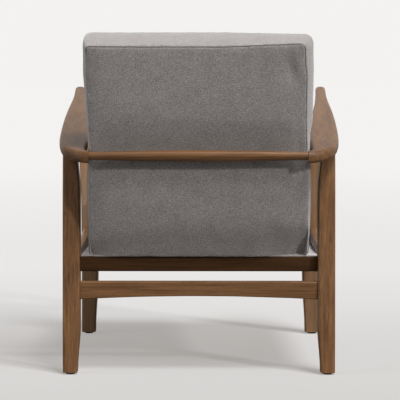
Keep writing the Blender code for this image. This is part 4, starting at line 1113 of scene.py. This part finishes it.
class CHAIR_OT_studio(bpy.types.Operator):
    """Lay the pale floor and set the lights and the camera"""

    bl_idname = "chair.studio"
    bl_label = "Studio"

    def execute(self, context):
        setup = context.scene.chair_studio
        self.floor()
        self.world(context, setup)
        self.lights(context, setup)
        self.camera(context, setup)
        context.scene.view_settings.view_transform = "Standard"
        return {"FINISHED"}

    def floor(self):
        floor = add_primitive("circle", vertices=128, radius=60.0, fill_type="NGON")
        floor.name = "studio_floor"
        made, tree, shader = new_material("studio_floor", 0.9, specular=0.0)
        place = object_place(tree)
        away = add_node(tree, "ShaderNodeVectorMath", {0: place}, operation="LENGTH").outputs["Value"]
        toward = add_node(tree, "ShaderNodeSeparateXYZ", {0: place}).outputs["Y"]
        by_eye = tree.nodes.new("ShaderNodeLightPath").outputs["Is Camera Ray"]
        # The floor's tone is a painted light fall-off: darker near the chair and on the camera's side,
        # lighter beyond it and far away
        far = remap(tree, away, 2.6, 7.0)
        near = mix_colours(tree, remap(tree, toward, -1.7, 0.6), (0.835, 0.825, 0.820), (0.685, 0.675, 0.665))
        tone = mix_colours(tree, far, near, (0.90, 0.89, 0.88))
        # What the eye sees is lit paper and a steady glow together, so that shadows stay light
        paper = mix_colours(tree, 1.0, tone, (0.565, 0.575, 0.580), blend="MULTIPLY")
        tree.links.new(mix_colours(tree, by_eye, (0.16, 0.157, 0.152), paper), shader.inputs["Base Color"])
        # The glow nearby is warmer, a painted warm tint in the floor's shadows
        warm = mix_colours(tree, 1.0, tone, (1.03, 0.995, 0.965), blend="MULTIPLY")
        colour = mix_colours(tree, far, warm, tone)
        glow = add_node(tree, "ShaderNodeEmission", {"Color": colour, "Strength": 1.0})
        fade = add_node(tree, "ShaderNodeMixShader", {
            0: remap(tree, away, 3.0, 7.5, 0.47, 1.0), 1: shader.outputs[0], 2: glow.outputs[0]})
        seen = add_node(
            tree, "ShaderNodeMixShader", {0: by_eye, 1: shader.outputs[0], 2: fade.outputs[0]})
        tree.links.new(seen.outputs[0], tree.nodes["Material Output"].inputs["Surface"])
        floor.data.materials.append(made)

    def world(self, context, setup):
        """A weak even sky, which the eye and reflections see as pale paper."""
        world = bpy.data.worlds.new("studio")
        world.use_nodes = True
        tree = world.node_tree
        sky = tree.nodes["Background"]
        sky.inputs["Color"].default_value = (1.0, 0.995, 0.985, 1.0)
        sky.inputs["Strength"].default_value = setup.sky
        seen = add_node(tree, "ShaderNodeBackground", {"Color": (0.896, 0.888, 0.880, 1.0), "Strength": 1.0})
        path = tree.nodes.new("ShaderNodeLightPath")
        looks = maths(tree, "MAXIMUM", path.outputs["Is Camera Ray"], path.outputs["Is Glossy Ray"])
        looks = maths(tree, "MAXIMUM", looks, path.outputs["Is Transmission Ray"])
        choose = add_node(tree, "ShaderNodeMixShader", {0: looks, 1: sky.outputs[0], 2: seen.outputs[0]})
        tree.links.new(choose.outputs[0], tree.nodes["World Output"].inputs["Surface"])
        context.scene.world = world

    def lights(self, context, setup):
        warm, cool = (1.0, 0.985, 0.965), (0.995, 1.0, 1.02)
        side_height, side_turn = math.radians(16), math.radians(-74)
        front_height, front_turn = math.radians(40), math.radians(222)
        self.lamp(context, "key", setup.key, setup.key_height, setup.key_turn, 5, warm)
        self.lamp(context, "top", setup.top, setup.top_height, setup.top_turn, 20, cool)
        self.lamp(context, "side", setup.side, side_height, side_turn, 30, warm)
        # Without a gleam of its own, or it would whiten the arms as the camera sees them, and kept off
        # the floor, where its shadow would show
        soft = self.lamp(context, "front", setup.front, front_height, front_turn, 25, warm)
        soft.visible_glossy = False
        spared = bpy.data.collections.new("front_light_spares")
        spared.objects.link(bpy.data.objects["studio_floor"])
        spared.collection_objects[0].light_linking.link_state = "EXCLUDE"
        soft.light_linking.receiver_collection = spared

    def lamp(self, context, name, strength, height, turn, spread, colour):
        """A soft, even light from far away."""
        lamp = bpy.data.lights.new(name, "SUN")
        lamp.energy = strength
        lamp.angle = math.radians(spread)
        lamp.color = colour
        light = bpy.data.objects.new(name, lamp)
        toward = Vector((-math.sin(turn) * math.cos(height), math.cos(turn) * math.cos(height),
                         math.sin(height)))
        light.rotation_euler = toward.to_track_quat("Z", "Y").to_euler()
        context.scene.collection.objects.link(light)
        return light

    def camera(self, context, setup):
        """The place behind the chair from which its feet, rails and arms line up as photographed."""
        eye = Vector((-0.0243, FEET_Y + 4.197, 0.7637))
        pitch, yaw = math.radians(5.14), math.radians(0.34)
        level = math.cos(pitch)
        forward = Vector((math.sin(yaw) * level, -math.cos(yaw) * level, -math.sin(pitch)))
        right = forward.cross(Vector((0, 0, 1))).normalized()
        up = right.cross(forward)
        lens = bpy.data.cameras.new("camera")
        lens.lens = setup.lens
        lens.sensor_width = 36
        lens.clip_end = 200
        camera = bpy.data.objects.new("camera", lens)
        turn = Matrix((right, up, -forward)).transposed().to_4x4()
        camera.matrix_world = Matrix.Translation(eye) @ turn
        context.scene.collection.objects.link(camera)
        context.scene.camera = camera


# Add-on


SETTINGS = {"chair_wood": WoodFinish, "chair_fabric": FabricFinish, "chair_pad": PadShape,
            "chair_seat": SeatShape, "chair_studio": Studio}
MAKERS = [CHAIR_OT_wooden_frame, CHAIR_OT_back_pad, CHAIR_OT_seat_cushion, CHAIR_OT_buttons,
          CHAIR_OT_deck, CHAIR_OT_small_parts, CHAIR_OT_studio]


class CHAIR_PT_maker(bpy.types.Panel):
    bl_label = "Button Back Armchair"
    bl_idname = "CHAIR_PT_maker"
    bl_space_type = "VIEW_3D"
    bl_region_type = "UI"
    bl_category = "Chair"

    def draw(self, context):
        for group in SETTINGS:
            settings = getattr(context.scene, group)
            column = self.layout.column()
            for name in settings.__annotations__:
                column.prop(settings, name)
        for maker in MAKERS:
            self.layout.operator(maker.bl_idname)


def register():
    for name, group in SETTINGS.items():
        bpy.utils.register_class(group)
        setattr(bpy.types.Scene, name, bpy.props.PointerProperty(type=group))
    for maker in [*MAKERS, CHAIR_PT_maker]:
        bpy.utils.register_class(maker)


def unregister():
    for maker in reversed([*MAKERS, CHAIR_PT_maker]):
        bpy.utils.unregister_class(maker)
    for name, group in reversed(SETTINGS.items()):
        delattr(bpy.types.Scene, name)
        bpy.utils.unregister_class(group)


def main():
    register()
    bpy.ops.chair.wooden_frame()
    bpy.ops.chair.back_pad()
    bpy.ops.chair.seat_cushion()
    bpy.ops.chair.buttons()
    bpy.ops.chair.deck()
    bpy.ops.chair.small_parts()
    bpy.ops.chair.studio()


if __name__ == "__main__":
    main()
